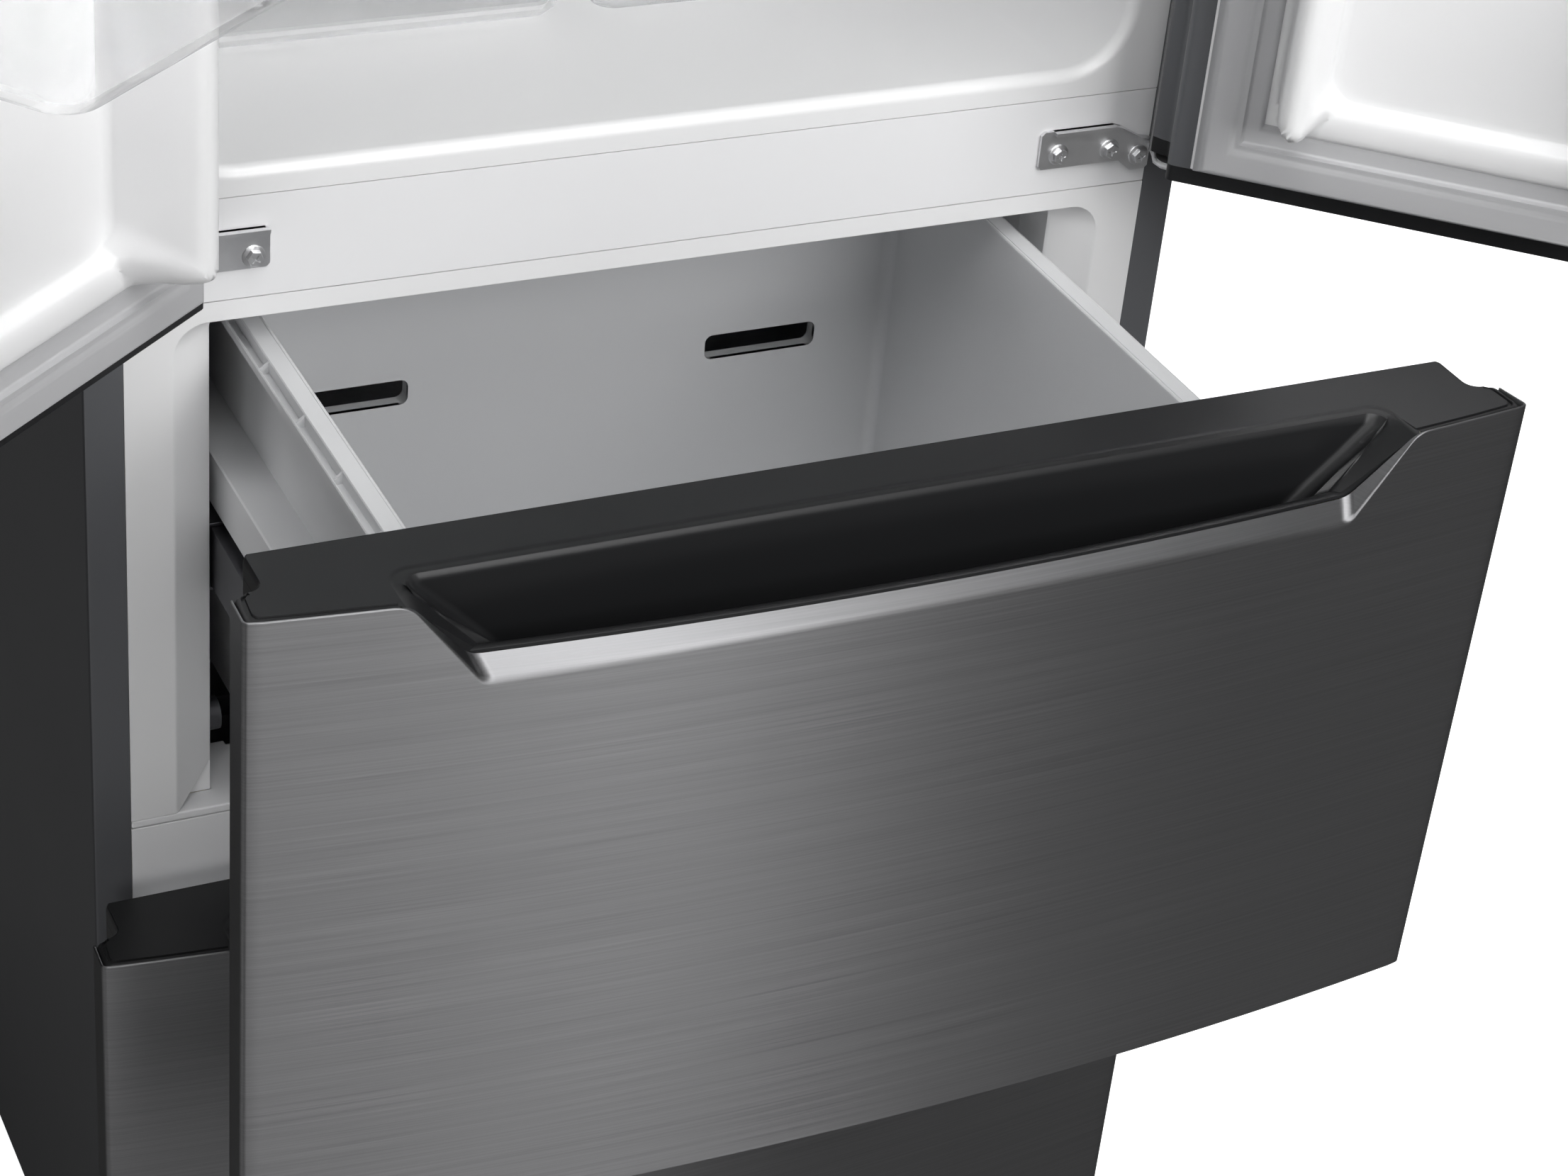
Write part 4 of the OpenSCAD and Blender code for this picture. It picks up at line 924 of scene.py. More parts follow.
    def recess(self, rear: Point, front: Point, corner: float, ledge: bool) -> list[Point]:
        """One closed ring round the hand recess.

        Args:
            rear: Half width, depth and height of the rear edge.
            front: Half width, distance behind the skin and height of the front edge.
            corner: Radius of the rear corners.
            ledge: Whether the ring follows the cap's top to the skin before it slopes down.

        Returns:
            The ring's points, as many for any sizes.
        """
        wide = rear[0] - corner
        half = [(wide * i / REAR_STEPS, rear[1], rear[2]) for i in range(REAR_STEPS + 1)]
        half += at_z(arc(wide, rear[1] - corner, corner, 90, 0, CORNER_STEPS)[1:], rear[2])
        start = Vector(half[-1])
        end = Vector((front[0], FRONT.face_y(front[0]) + front[1], front[2]))
        turn = Vector((rear[0], FRONT.face_y(rear[0]) + 1.6, rear[2])) if ledge else start.lerp(end, 0.34)
        half += [tuple(start.lerp(turn, i / SIDE_STEPS)) for i in range(1, SIDE_STEPS + 1)]
        half += [tuple(turn.lerp(end, i / SLANT_STEPS)) for i in range(1, SLANT_STEPS + 1)]
        for i in range(1, FRONT_STEPS + 1):
            x = front[0] * (1 - i / FRONT_STEPS)
            half.append((x, FRONT.face_y(x) + front[1], front[2]))
        return half + [(-x, y, z) for x, y, z in reversed(half[1:-1])]

    def cap_edge(self, inset: float, z: float, shift: float) -> list[Point]:
        """Returns the C shaped top's edge, from one corner of the notch round the rear to the other."""
        half = [(0.0, -shift)]
        for x, y in FRONT.end(inset):
            half.append((x - (shift if x > 300 and y > -34 else 0.0), min(y, -shift)))
        half += FRONT.face(FRONT.half - inset - FRONT.corner_r, self.notch_top + 3.4, inset, 3)[1:]
        return at_z([(-x, y) for x, y in reversed(half[1:])] + half, z)

    def cap(self) -> None:
        """Builds the black cap: its top with a groove, the bead round the recess and the deep scoop, with the
        gap by the skin and the lower scoop in a darker black as painted shade.
        """
        builder = Builder(self.place)
        top, wide, rear = self.cap_top, self.notch_top, -self.scoop_back
        edges = ((1.2, top - self.cap_t, 0.0), (1.5, top - 3.2, 0.0), (2.0, top - 1.8, 0.2),
                 (2.9, top - 0.6, 0.5), (4.0, top, 0.8), (5.0, top, 0.9), (5.4, top - 1.1, 1.0),
                 (6.8, top - 1.1, 1.1), (7.2, top, 1.2))
        made = [builder.ring(self.cap_edge(*edge)) for edge in edges]
        # The bands from the skin's edge over the bead and the groove take the darker black: painted shade in
        # the gap by the skin
        builder.slot = GLOSSY_PAINTED_SHADE
        for a, b in zip(made, made[1:]):
            builder.bridge(a, b, closed=False)
        low_x, base, deep = self.notch_low + self.lip_out, self.lip_rise - self.notch_drop, -self.scoop_h
        # Rear edge: added width and depth, height. Front edge: added width and depth, height. Corner radius.
        rows = ((1.5, 0.0, top, 0.6, 0.4, base - 0.1, 12.0),
                (0.6, -1.6, top - 0.7, -0.4, 0.8, base + 1.3, 11.4),
                (-1.0, -3.0, top - 0.9, -2.6, 2.2, base + 2.0, 10.5),
                (-4.0, -5.2, top - 0.5, -4.6, 4.4, base + 1.7, 9.0),
                (-5.6, -7.0, top - 0.7, -6.0, 5.8, base + 1.0, 8.5),
                (-7.0, -8.4, top - 2.6, -7.6, 7.0, base - 0.9, 8.0),
                (-8.6, -9.0, top - 5.4, -9.4, 7.8, base - 3.2, 8.0),
                (-24.0, -9.0, -21.0, -22.0, 9.0, -44.0, 7.5),
                (-50.0, -7.0, 13.0 + deep, -29.0, 10.0, 8.0 + deep, 7.0),
                (-58.0, -8.0, 3.0 + deep, -35.0, 12.0, 3.0 + deep, 6.0),
                (-64.0, -11.0, deep, -41.0, 15.0, deep, 5.0))
        ledge_rows, matt_rows = 3, 5
        hole = []
        for index, (out, back, rear_z, low_out, inward, low_z, corner) in enumerate(rows):
            behind, before = (wide + out, rear + back, rear_z), (low_x + low_out, self.lip + inward, low_z)
            hole.append(builder.ring(self.recess(behind, before, corner, index < ledge_rows)))
        # From the sixth ring down, the scoop's walls and its floor take the darker black: painted shade in
        # the recess
        for index, (a, b) in enumerate(zip(hole, hole[1:])):
            builder.slot = GLOSSY_PAINTED_SHADE if index >= matt_rows else MATT
            builder.bridge(a, b)
        builder.slot = GLOSSY_PAINTED_SHADE
        builder.face(hole[-1])
        builder.slot = MATT
        half = REAR_STEPS + CORNER_STEPS + SIDE_STEPS
        rim = [hole[0][i % len(hole[0])] for i in range(-half, half + 1)]
        groove = made[4:-1]
        sides = [ring[-1] for ring in reversed(groove)], [ring[0] for ring in groove]
        builder.face(list(made[-1]) + sides[0] + rim[::-1] + sides[1])
        finishes = [Finishes.black, Finishes.gloss_black_painted_shade]
        piece = self.make(builder, "front_cap", finishes, ["drawer_cap"], smooth=38.0, outward=False)
        look_to(piece, Z_AXIS, 1)

    def core(self) -> None:
        """Builds the insulation, with room left for the hand recess."""
        foam = self.dress("drawer_foam", "front_insulation", Finishes.foam, 0.3, 1)
        room = Builder(self.place)
        wide, deep, slant = self.notch_top + 12.0, self.scoop_h + 4.0, 44.0
        outline = [(-wide, 5.0), (-wide, -20.0), (-wide + slant, -deep), (wide - slant, -deep),
                   (wide, -20.0), (wide, 5.0)]
        room.prism(outline, -95.0, -self.scoop_back + 6.0, "y")
        carved(foam, room)

    def rear_plate(self) -> None:
        """Builds the white inner plate with a pressed field."""
        builder = Builder(self.place)
        wide = HALF_W - 10.5
        plate = Rect(-wide, wide, -self.skin_h + self.cap_t, self.cap_top - self.cap_t)
        steps = ((0.2, -2.0, 0.5), (0.2, 0.0, 0.5), (66.0, 0.0, 14.0), (69.0, -1.4, 13.0), (74.0, -1.6, 10.0))
        builder.loft([at_y(plate.rounded(radius, -inset), y) for inset, y, radius in steps])
        self.make(builder, "front_back_plate", [Finishes.white], ["drawer_plate"])

    def gasket(self) -> None:
        """Builds the seal on the rear of the front."""
        builder = Builder(self.place)
        out = FREEZER_HALF + BEVEL_W + 24.0
        profile = ((0.0, 0.0), (0.2, 3.0), (2.5, 9.0), (5.0, 14.0), (7.0, 18.0), (15.5, 18.5), (17.0, 16.5),
                   (17.5, 11.0), (18.4, 10.0), (20.0, 10.5), (21.5, 9.0), (22.0, 0.0))
        builder.frame(Rect(-out, out, self.seal_low, self.seal_high), profile)
        self.make(builder, "front_seal", [Finishes.rubber], ["drawer_gasket"], smooth=40.0)

    def slot_outline(self, side: int, grow: float = 0.0) -> list[Flat]:
        """Returns the outline of one of the two slots in the basket's rear wall."""
        middle = side * self.slot_x
        low, high = [self.basket_top - drop for drop in self.slot_drop]
        slot = Rect(middle - self.slot_half, middle + self.slot_half, low, high)
        return slot.rounded(self.slot_r + grow, grow)

    def basket(self) -> None:
        """Builds the basket's tub with the slots in its rear wall and the collars behind them."""
        builder = Builder(self.place)
        depth, wall, top = self.basket_d, self.wall, self.basket_top
        low = top - self.basket_h
        inner = Rect(-self.basket_half, self.basket_half, wall, depth)
        levels = ((wall - 8.0, low, 8.0), (wall - 2.5, low + 1.2, 9.0), (wall, low + 7.0, 10.0),
                  (wall, top - 2.0, 10.0), (wall - 0.3, top - 0.6, 10.0), (wall - 0.9, top, 9.5),
                  (0.9, top, 8.0), (0.3, top - 0.6, 7.5), (0.0, top - 2.0, 7.0), (0.0, low + 12.0, 7.0),
                  (-2.5, low + 5.5, 6.0), (-8.0, low + wall, 6.0))
        builder.loft([at_z(inner.rounded(radius, grow), z) for grow, z, radius in levels])
        tub = self.make(builder, "basket_tub", [Finishes.basket], ["basket"])
        cutter, collars = Builder(self.place), Builder(self.place)
        for side in (LEFT, RIGHT):
            cutter.prism(self.slot_outline(side), depth - 6, depth + wall + 20, "y")
            steps = ((2.0, depth + 2.9), (2.0, depth + 10.0), (0.0, depth + 10.0), (0.0, depth + 0.2))
            rings = [at_y(self.slot_outline(side, grow), y) for grow, y in steps]
            collars.loft(rings + rings[:1], False, False)
        carved(tub, cutter)
        self.basket_sides()
        self.make(collars, "slot_collars", [Finishes.basket])

    def basket_sides(self) -> None:
        """Builds the rims, gussets, ledges and skirts on both sides of the basket."""
        out, top, back = self.basket_half + self.wall, self.basket_top, self.basket_d + self.wall
        ledge = top - self.ledge_drop
        far = FREEZER_HALF - 7.0
        rim = [(out - 0.5, top - 3.0), (out - 0.5, top), (out + 9.0, top), (out + 9.6, top - 0.6),
               (out + 9.6, top - 7.5), (out + 14.0, top - 8.0), (out + 14.2, top - 5.0),
               (out + 15.0, top - 4.6), (out + 15.5, top - 5.2), (out + 15.5, top - 9.8),
               (out + 15.0, top - 10.2), (out + 7.6, top - 10.0), (out + 7.6, top - 3.0)]
        shelf = [(out - 0.5, ledge - 3.0), (out - 0.5, ledge), (far - 1.2, ledge), (far - 0.2, ledge - 0.8),
                 (far, ledge - 32.0), (far - 2.0, ledge - 32.0), (far - 2.0, ledge - 3.0)]
        gusset = [(out + 9.4, top - 0.8), (out + 9.4, top - 8.0), (out + 14.6, top - 8.0),
                  (out + 14.6, top - 5.2)]
        rims = Builder(self.place)
        for side in (LEFT, RIGHT):
            rims.prism(on_side(side, rim), 0.0, back, "y")
            rims.prism(on_side(side, shelf), 0.0, back, "y")
        self.make(rims, "basket_rims", [Finishes.basket])
        for side in (LEFT, RIGHT):
            name = f"{self.name}_{SIDE_NAME[side]}"
            one = Builder(self.place)
            one.prism(on_side(side, gusset), 15.0, 16.8, "y")
            REPEATS.along(one, f"{name}_gussets", self.body, Finishes.basket, self.gussets,
                          (0, self.gusset_pitch, 0))
            low, high = sorted((side * out, side * self.web_out))
            web = Builder(self.place)
            web.block((low, 45.0, self.web_low), (high, 47.5, ledge - 2.5))
            REPEATS.along(web, f"{name}_rail_webs", self.body, Finishes.basket, self.webs,
                          (0, self.web_pitch, 0))

    def build(self) -> None:
        """Builds every piece of the drawer."""
        self.skin()
        self.cap()
        self.dress("drawer_frame", "front_edges", Finishes.black, 0.8)
        self.core()
        self.rear_plate()
        self.gasket()
        self.basket()
        self.dress("drawer_rails", "inner_slides", Finishes.zinc, 0.5)
        rails = f"{self.name}_middle_rails"
        # The middle slides take the darkened steel, as painted shade
        softened(rails, f"{self.name}_middle_slides", Finishes.slide, 0.5, body=rails)


@dataclass
class Door:
    """One fridge door: bowed steel front, liner with its raised rib, seal and clear bins."""

    side: int
    free_x: float = 3.7
    liner_x: float = 318.5
    end_h: float = 10.0
    rib_h: float = 52.5
    rib_w: float = 18.0
    rib_x0: float = 50.0
    rib_x1: float = 269.5
    bin_h: float = 95.0
    bin_x: Flat = (55.0, 262.0)
    bin_front: float = 110.5
    bin_back: float = -9.0
    bin_neck: float = 41.0
    bin_low: float = 1072.0
    bin_pitch: float = 270.0
    bin_r: float = 18.0

    def __post_init__(self) -> None:
        """Works out the name and body, and how the shut right hand door is turned and mirrored."""
        self.name = SIDE_NAME[self.side]
        self.body = f"{self.name}_door"
        turn = Matrix.Rotation(math.radians(OPEN_ANGLE[self.side]), 4, "Z")
        pin = Vector((self.side * HINGE_X, -HINGE_Y, 0))
        flip = Matrix.Scale(self.side, 4, (1, 0, 0))
        self.place = Matrix.Translation(pin) @ turn @ Matrix.Translation(-pin) @ flip

    def make(self, builder: Builder, part: str, finish: Finish, node: str = "", smooth: float = 32.0) -> None:
        """Makes a piece of this door that stands for one of its CAD nodes."""
        nodes = [f"{self.body}_{node}"] if node else []
        builder.make(f"{self.body}_{part}", self.body, [finish], nodes, smooth)

    def skin(self) -> None:
        """Builds the brushed outer skin with folded ends."""
        builder = Builder(self.place)
        outer = FRONT.front_corner(0.0) + FRONT.face(FRONT.half - 8, 2.0, 0.0)
        inner = FRONT.front_corner(1.0) + FRONT.face(FRONT.half - 9, 2.0, 1.0)
        builder.prism([(x, y - DOOR_GAP) for x, y in outer + inner[::-1]], DOOR_LOW, DOOR_TOP)
        self.make(builder, "steel", Finishes.steel, "skin", 26.0)

    def edges(self) -> None:
        """Builds the end caps and the dark strips along both sides; the strips take the lighter copy of the
        cabinet paint, as painted light.
        """
        softened(f"{self.body}_caps", f"{self.body}_ends", Finishes.black, 0.9, body=self.body)
        builder = Builder(self.place)
        low, high = DOOR_LOW + self.end_h - 0.2, DOOR_TOP - self.end_h + 0.2
        outer = [(318.6, 0.0)] + FRONT.rear_side() + arc(345.0, -37.0, 3.0, 90, 20, 3)
        inner = [(318.6, -1.6)] + [(x - 1.6, min(y, -1.6)) for x, y in FRONT.rear_side()[3:]]
        inner += [(FRONT.half - 9.0, -35.6), (FRONT.half - 5.0, -37.0)]
        builder.prism([(x, y - DOOR_GAP) for x, y in outer + inner[::-1]], low, high)
        free = [(2.2, -DOOR_GAP), (2.2, -DOOR_GAP - 78.0), (3.6, -DOOR_GAP - 78.0), (3.6, -DOOR_GAP)]
        builder.prism(free, low, high)
        # The strips take the lighter copy of the cabinet paint: painted light
        self.make(builder, "side_strips", Finishes.painted_light_front_paint, smooth=40.0)

    def core(self) -> None:
        """Builds the insulation between the skin and the liner."""
        builder = Builder(self.place)
        loop = [(4.2, -2.6), (300.0, -2.6)] + FRONT.face(300.0, 4.2, 1.6)
        low, high = DOOR_LOW + self.end_h + 0.4, DOOR_TOP - self.end_h - 0.4
        builder.prism([(x, y - DOOR_GAP) for x, y in loop], low, high)
        self.make(builder, "insulation", Finishes.foam, "foam")

    def rib_y(self, x: float, z: float, rib: Rect, height: float) -> float:
        """Returns the rib's depth: full along both sides up to its rounded ends, low along the other two."""
        across = min(x - rib.u0, rib.u1 - x)
        beside = 1 - smooth_step(across, self.rib_w - 4.0, self.rib_w + 8.0)
        end = min(abs(across - self.rib_w / 2), 12.0) ** 2 / 12.0 - 3.0
        ends = smooth_step(z - rib.v0 - end, 0.0, 18.0) * smooth_step(rib.v1 - z - end, 0.0, 18.0)
        return height * (0.17 + 0.83 * beside * ends) - DOOR_GAP

    def liner(self) -> None:
        """Builds the white liner: flat rim, raised ribs on both sides and the sunk field."""
        builder = Builder(self.place)
        edge = Rect(self.free_x, self.liner_x, DOOR_LOW + self.end_h, DOOR_TOP - self.end_h)
        rings = [self.split_sides(at_y(edge.rounded(0.5, steps=8), y - DOOR_GAP)) for y in (-2.0, 0.0)]
        rib = Rect(self.rib_x0, self.rib_x1, FRIDGE_FLOOR + 4.0, FRIDGE_TOP - 4.0)
        w = self.rib_w
        steps = ((-11.0, 0.0, 18.0), (-8.0, 0.02, 17.0), (-5.5, 0.1, 16.0), (-1.0, 0.8, 14.0),
                 (0.6, 0.93, 13.0), (3.5, 0.985, 12.0), (6.5, 1.0, 11.0), (w - 8.5, 1.0, 11.0),
                 (w - 5.5, 0.975, 12.0), (w - 2.6, 0.9, 13.0), (w - 0.6, 0.76, 14.0), (w + 2.2, 0.16, 16.0),
                 (w + 4.2, 0.07, 16.0), (w + 8.0, 0.045, 16.0), (w + 20.0, 0.045, 16.0),
                 (w + 24.0, 0.03, 15.0), (w + 30.0, 0.02, 14.0))
        for inset, share, radius in steps:
            placed = self.split_sides(at_y(rib.rounded(radius, -inset, 8), 0.0))
            rings.append([(x, self.rib_y(x, z, rib, self.rib_h * share), z) for x, _, z in placed])
        builder.loft(rings)
        self.make(builder, "inner", Finishes.white, "liner", 50.0)

    def split_sides(self, ring: Sequence[Point]) -> list[Point]:
        """Adds points near the ends of a ring's four sides, so that the rib's height can change there."""
        steps = len(ring) // 4
        long_side = (0.002, 0.004, 0.007, 0.011, 0.016)
        short_side = (0.015, 0.03, 0.05, 0.075, 0.11, 0.16, 0.23)
        out: list[Point] = []
        for i, p in enumerate(ring):
            out.append(p)
            if i % steps == steps - 1:
                q = ring[(i + 1) % len(ring)]
                near = long_side if abs(q[2] - p[2]) > abs(q[0] - p[0]) else short_side
                for s in near + (0.5,) + tuple(1.0 - s for s in reversed(near)):
                    out.append(tuple(p[k] + (q[k] - p[k]) * s for k in range(3)))
        return out

    def gasket(self) -> None:
        """Builds the magnetic seal with its bellows and mitred corners."""
        builder = Builder(self.place)
        profile = ((0.0, 0.0), (0.1, 1.8), (1.6, 5.2), (4.0, 10.4), (6.0, 12.9), (8.0, 13.6), (18.5, 13.75),
                   (20.5, 13.3), (21.6, 12.0), (23.0, 11.4), (24.4, 11.8), (25.2, 11.6), (26.0, 9.2),
                   (27.4, 7.8), (33.0, 6.8), (35.0, 5.8), (36.0, 3.6), (36.0, 0.0))
        builder.frame(Rect(6.0, HINGE_X, DOOR_LOW + 10.0, DOOR_TOP - 12.0), profile, -DOOR_GAP)
        self.make(builder, "seal", Finishes.rubber, "gasket", 40.0)

    def bin_ring(self, grow: float, z: float) -> list[Point]:
        """Returns one level ring of a bin, T shaped in plan."""
        radius = self.bin_r + grow
        neck0, neck1 = self.rib_x0 + self.rib_w + 3.0 - grow, self.rib_x1 - self.rib_w - 3.0 + grow
        x0, x1 = self.bin_x[0] - grow, self.bin_x[1] + grow
        back, neck, front = self.bin_back - grow, self.bin_neck - grow, self.bin_front + grow
        outline = [(neck0, back), (neck1, back), (neck1, neck), (x1, neck)]
        outline += arc(x1 - radius, front - radius, radius, 0, 90, 8)
        outline += arc(x0 + radius, front - radius, radius, 90, 180, 8)
        return at_z(outline + [(x0, neck), (neck0, neck)], z)

    def bins(self) -> None:
        """Builds the three clear bins with thick rounded rims."""
        builder = Builder(self.place)
        top = self.bin_h
        steps = ((-5.0, 0.0), (-1.2, 1.0), (0.0, 5.0), (0.0, top - 8.0), (0.0, top - 1.0), (-0.4, top),
                 (-2.2, top), (-2.6, top - 1.0), (-2.8, top - 8.0), (-2.8, 7.0), (-4.0, 4.0), (-7.5, 2.8))
        for level in range(3):
            low = self.bin_low + self.bin_pitch * level
            builder.loft([self.bin_ring(grow, low + height) for grow, height in steps])
        self.make(builder, "clear_bins", Finishes.clear, "bins", 30.0)

    def build(self) -> None:
        """Builds every piece of the door."""
        self.skin()
        self.edges()
        self.core()
        self.liner()
        self.gasket()
        self.bins()
        if self.side == LEFT:
            softened("folding_bar", "folding_bar_cover", Finishes.rail, 2.0, 3, "folding_bar")


@dataclass
class Hinges:
    """The mid and top hinge of one door with their pins and screws."""

    side: int
    end: float
    low: float
    top: float
    fold: float
    screw: float
    sheet: float = 2.4
    arm_z: Flat = (825.5, 828.5)

    def build(self) -> None:
        """Builds both hinges and seats their screws."""
        side, end, top = self.side, self.end, self.top
        builder = Builder()
        plate = [(end, self.low + 2.0), (end, top - 2.2), (end + 2.2, top), (283.0, top), (288.0, top - 1.6),
                 (302.0, 831.0), (310.0, 829.2), (310.0, 811.4), (308.0, 809.4), (298.0, 809.4),
                 (290.0, self.low),
                 (end + 2.0, self.low)]
        builder.prism(on_side(side, plate), -0.1 - self.sheet, -0.1, "y")
        start = end + self.fold
        fold = [(start, top - 2.0), (282.4, top - 2.0), (287.4, top - 3.6), (301.0, 829.2), (309.6, 827.4),
                (309.6, 829.4), (301.6, 831.2), (288.0, top - 1.6), (283.0, top), (start, top)]
        builder.prism(on_side(side, fold), -6.0, -0.2, "y")
        arm = [(306.5, -2.0), (306.0, -11.0), (303.0, -19.0), (299.0, -27.0), (299.5, -33.0),
               (304.0, -39.0), (306.0, -47.0), (310.5, -54.5), (317.0, -57.0), (323.5, -54.5),
               (327.0, -47.0), (325.0, -34.0), (318.5, -22.0), (314.0, -12.0), (313.0, -2.0)]
        builder.prism(on_side(side, arm), *self.arm_z)
        builder.soften(0.7, 2)
        pin = (side * HINGE_X, -HINGE_Y)
        builder.prism(circle(*pin, 8.0), 828.0, 832.2)
        builder.prism(circle(*pin, 5.0), 826.0, 848.0)
        builder.tube(at_z(on_side(side, arm[1:6] + [(312.0, -42.0)]), 826.4), 1.9, 10)
        strap = [(277.0, 8.0), (277.0, 66.0), (281.0, 70.0), (321.0, 70.0), (325.0, 66.0), (325.0, -46.0),
                 (322.0, -54.0), (317.0, -57.0), (311.0, -55.0), (306.0, -48.0), (295.0, 8.0)]
        builder.prism(on_side(side, strap), CAB_H + 0.1, CAB_H + 3.0)
        builder.prism(circle(*pin, 5.0), 1860.0, CAB_H + 2.9)
        name, first = SIDE_NAME[side], side == LEFT
        builder.make(f"{name}_hinges", "root", [Finishes.plated], ["door_hinges"] if first else [])
        seats = [(end + self.screw, 825.4), (282.0, 824.7), (302.5, 818.8)]
        REPEATS.screws(at_y(on_side(side, seats), -2.5), f"{name}_mid_hinge_screws", 90.0, MID_SEED + side,
                       Finishes.plated, ["hinge_screws"] if first else [])
        seats = [(287.0, 24.0), (287.0, 56.0), (311.0, 40.0)]
        REPEATS.screws(at_z(on_side(side, seats), CAB_H + 3.0), f"{name}_top_hinge_screws", 0.0,
                       TOP_SEED + side, Finishes.plated)


@dataclass
class Cabinet:
    """The body of the appliance: wrapper, liners, rails, hinges and feet."""

    lip: float = 7.0
    mouth_r: float = 38.0
    throat_d: float = 30.0
    sheet: float = 1.6
    reach: float = 25.0
    rail_reach: float = 11.7
    back_y: float = 619.9
    ledge_pitch: float = 210.0

    def wrapper(self) -> None:
        """Builds the painted wrapper with its folded front strips, mitred at the top corners; the faces that
        look to the front take a lighter copy of the paint as painted light.
        """
        profile = [(STRIP_W, 1.0), (STRIP_W, 0.3), (STRIP_W - 0.4, 0.0), (2.2, 0.0), (0.7, 0.5), (0.0, 2.0),
                   (0.0, CAB_D), (1.0, CAB_D), (1.0, 2.2), (1.6, 1.0)]
        builder = Builder()
        foot = [(HALF_W - inset, y, BASE_Z) for inset, y in profile]
        top = [(HALF_W - inset, y, CAB_H - inset) for inset, y in profile]
        builder.loft([foot, top] + [[(-x, y, z) for x, y, z in ring] for ring in (top, foot)])
        finishes = [Finishes.paint, Finishes.painted_light_front_paint]
        piece = builder.make("wrapper_sheet", "root", finishes, ["outer_wrapper"])
        # Faces that look to the front take the lighter copy of the paint, as painted light
        for face in piece.data.polygons:
            face.material_index = 1 if face.normal.y < -0.5 else 0

    def fridge_space(self) -> None:
        """Builds the fridge liner: front frame, rounded lip, the room behind it and its ledges."""
        builder = Builder()
        lip, r = self.lip, self.mouth_r
        frame = Rect(-INNER_HALF + 0.2, INNER_HALF - 0.2, RAIL_TOP + 0.2, CAB_H - STRIP_W - 0.2)
        rings = [at_y(frame.rounded(0.6, steps=10), y) for y in (2.0, 0.0)]
        steps = []
        for i in range(9):
            a = math.pi / 2 * i / 8
            grow = lip * (1 - math.sin(a))
            steps.append((grow, lip * (1 - math.cos(a)), r + grow))
        steps += [(0.0, 200.0, r), (-1.0, LINER_BACK - 22.0, r), (-4.0, LINER_BACK - 7.0, r - 3),
                  (-12.0, LINER_BACK - 0.8, r - 8), (-22.0, LINER_BACK, r - 14)]
        mouth = Rect(-FRIDGE_HALF, FRIDGE_HALF, FRIDGE_FLOOR, FRIDGE_TOP)
        rings += [at_y(mouth.rounded(radius, grow, 10), y) for grow, y, radius in steps]
        builder.loft(rings, first=False)
        self.walled(builder.make("fridge_room", "root", [Finishes.white], ["fridge_liner"], smooth=40.0))
        for name, top, count in (("crisper_lid_ledges", 1072.0, 1), ("shelf_ledges", 1166.0, 3)):
            ribs = Builder()
            rib = [(60.0, top), (66.0, top - 8.0), (512.0, top - 8.0), (518.0, top)]
            for side in (LEFT, RIGHT):
                ribs.prism(rib, *sorted((side * (FRIDGE_HALF - 7.0), side * (FRIDGE_HALF + 0.5))), "x")
            REPEATS.along(ribs, name, "root", Finishes.white, count, (0, 0, self.ledge_pitch))

    def walled(self, piece: Object) -> None:
        """Turns a room's rear wall to look to the front, and gives the sheet a thickness behind it."""
        look_to(piece, Y_AXIS, -1, 0.3)
        piece.modifiers.clear()
        wall = piece.modifiers.new("wall", "SOLIDIFY")
        wall.thickness = self.sheet * 0.001
        wall.offset = -1.0
        shade(piece, 40.0)

    def mouth(self, builder: Builder, low: float, high: float, above: float) -> None:
        """Adds one freezer opening: the front frame, the slanted edge and the corner facets.

        Args:
            builder: Where it is added.
            low: Lower edge of the opening.
            high: Upper edge of the opening.
            above: How far the front frame reaches over it.
        """
        out, inner = FREEZER_HALF + BEVEL_W, FREEZER_HALF

        def line(half: float, y: float, radius: float, top: float, foot: float) -> list[Point]:
            """Returns an upside down U from the left foot to the right foot."""
            knee = low + self.reach * (abs(foot - half) / (out - inner)) if foot != half else low + 0.02
            left = [(-foot, low), (-half, knee), (-half, knee + 4.0)]
            left += arc(-half + radius, top - radius, radius, 180, 90, 8)
            return at_y(left + [(-x, z) for x, z in reversed(left)], y)

        rings = [line(INNER_HALF - 0.2, y, 0.4, high + above, INNER_HALF - 0.2) for y in (2.0, 0.0)]
        for grow, y in ((2.2, 0.0), (0.9, 0.25), (0.0, 1.0)):
            rings.append(line(out + grow, y, 18.0 + grow, high - 0.4 + grow * 0.3, out + grow))
        for share in (0.5, 0.93):
            half, y, radius = out + (inner - out) * share, 1.0 + (BEVEL_D - 2.2) * share, 18.0 - 8.0 * share
            rings.append(line(half, y, radius, high - 0.4 - 3.0 * share, out - 2.0 * share))
        rings.append(line(inner + 0.3, BEVEL_D - 0.9, 9.0, high - 4.0, out - 2.2))
        rings.append(line(inner, BEVEL_D - 0.6, 8.0, high - 4.2, inner))
        rings.append(line(inner, BEVEL_D + self.throat_d, 8.0, high - 4.2, inner))
        made = [builder.ring(r) for r in rings]
        for a, b in zip(made, made[1:]):
            builder.bridge(a, b, closed=False)

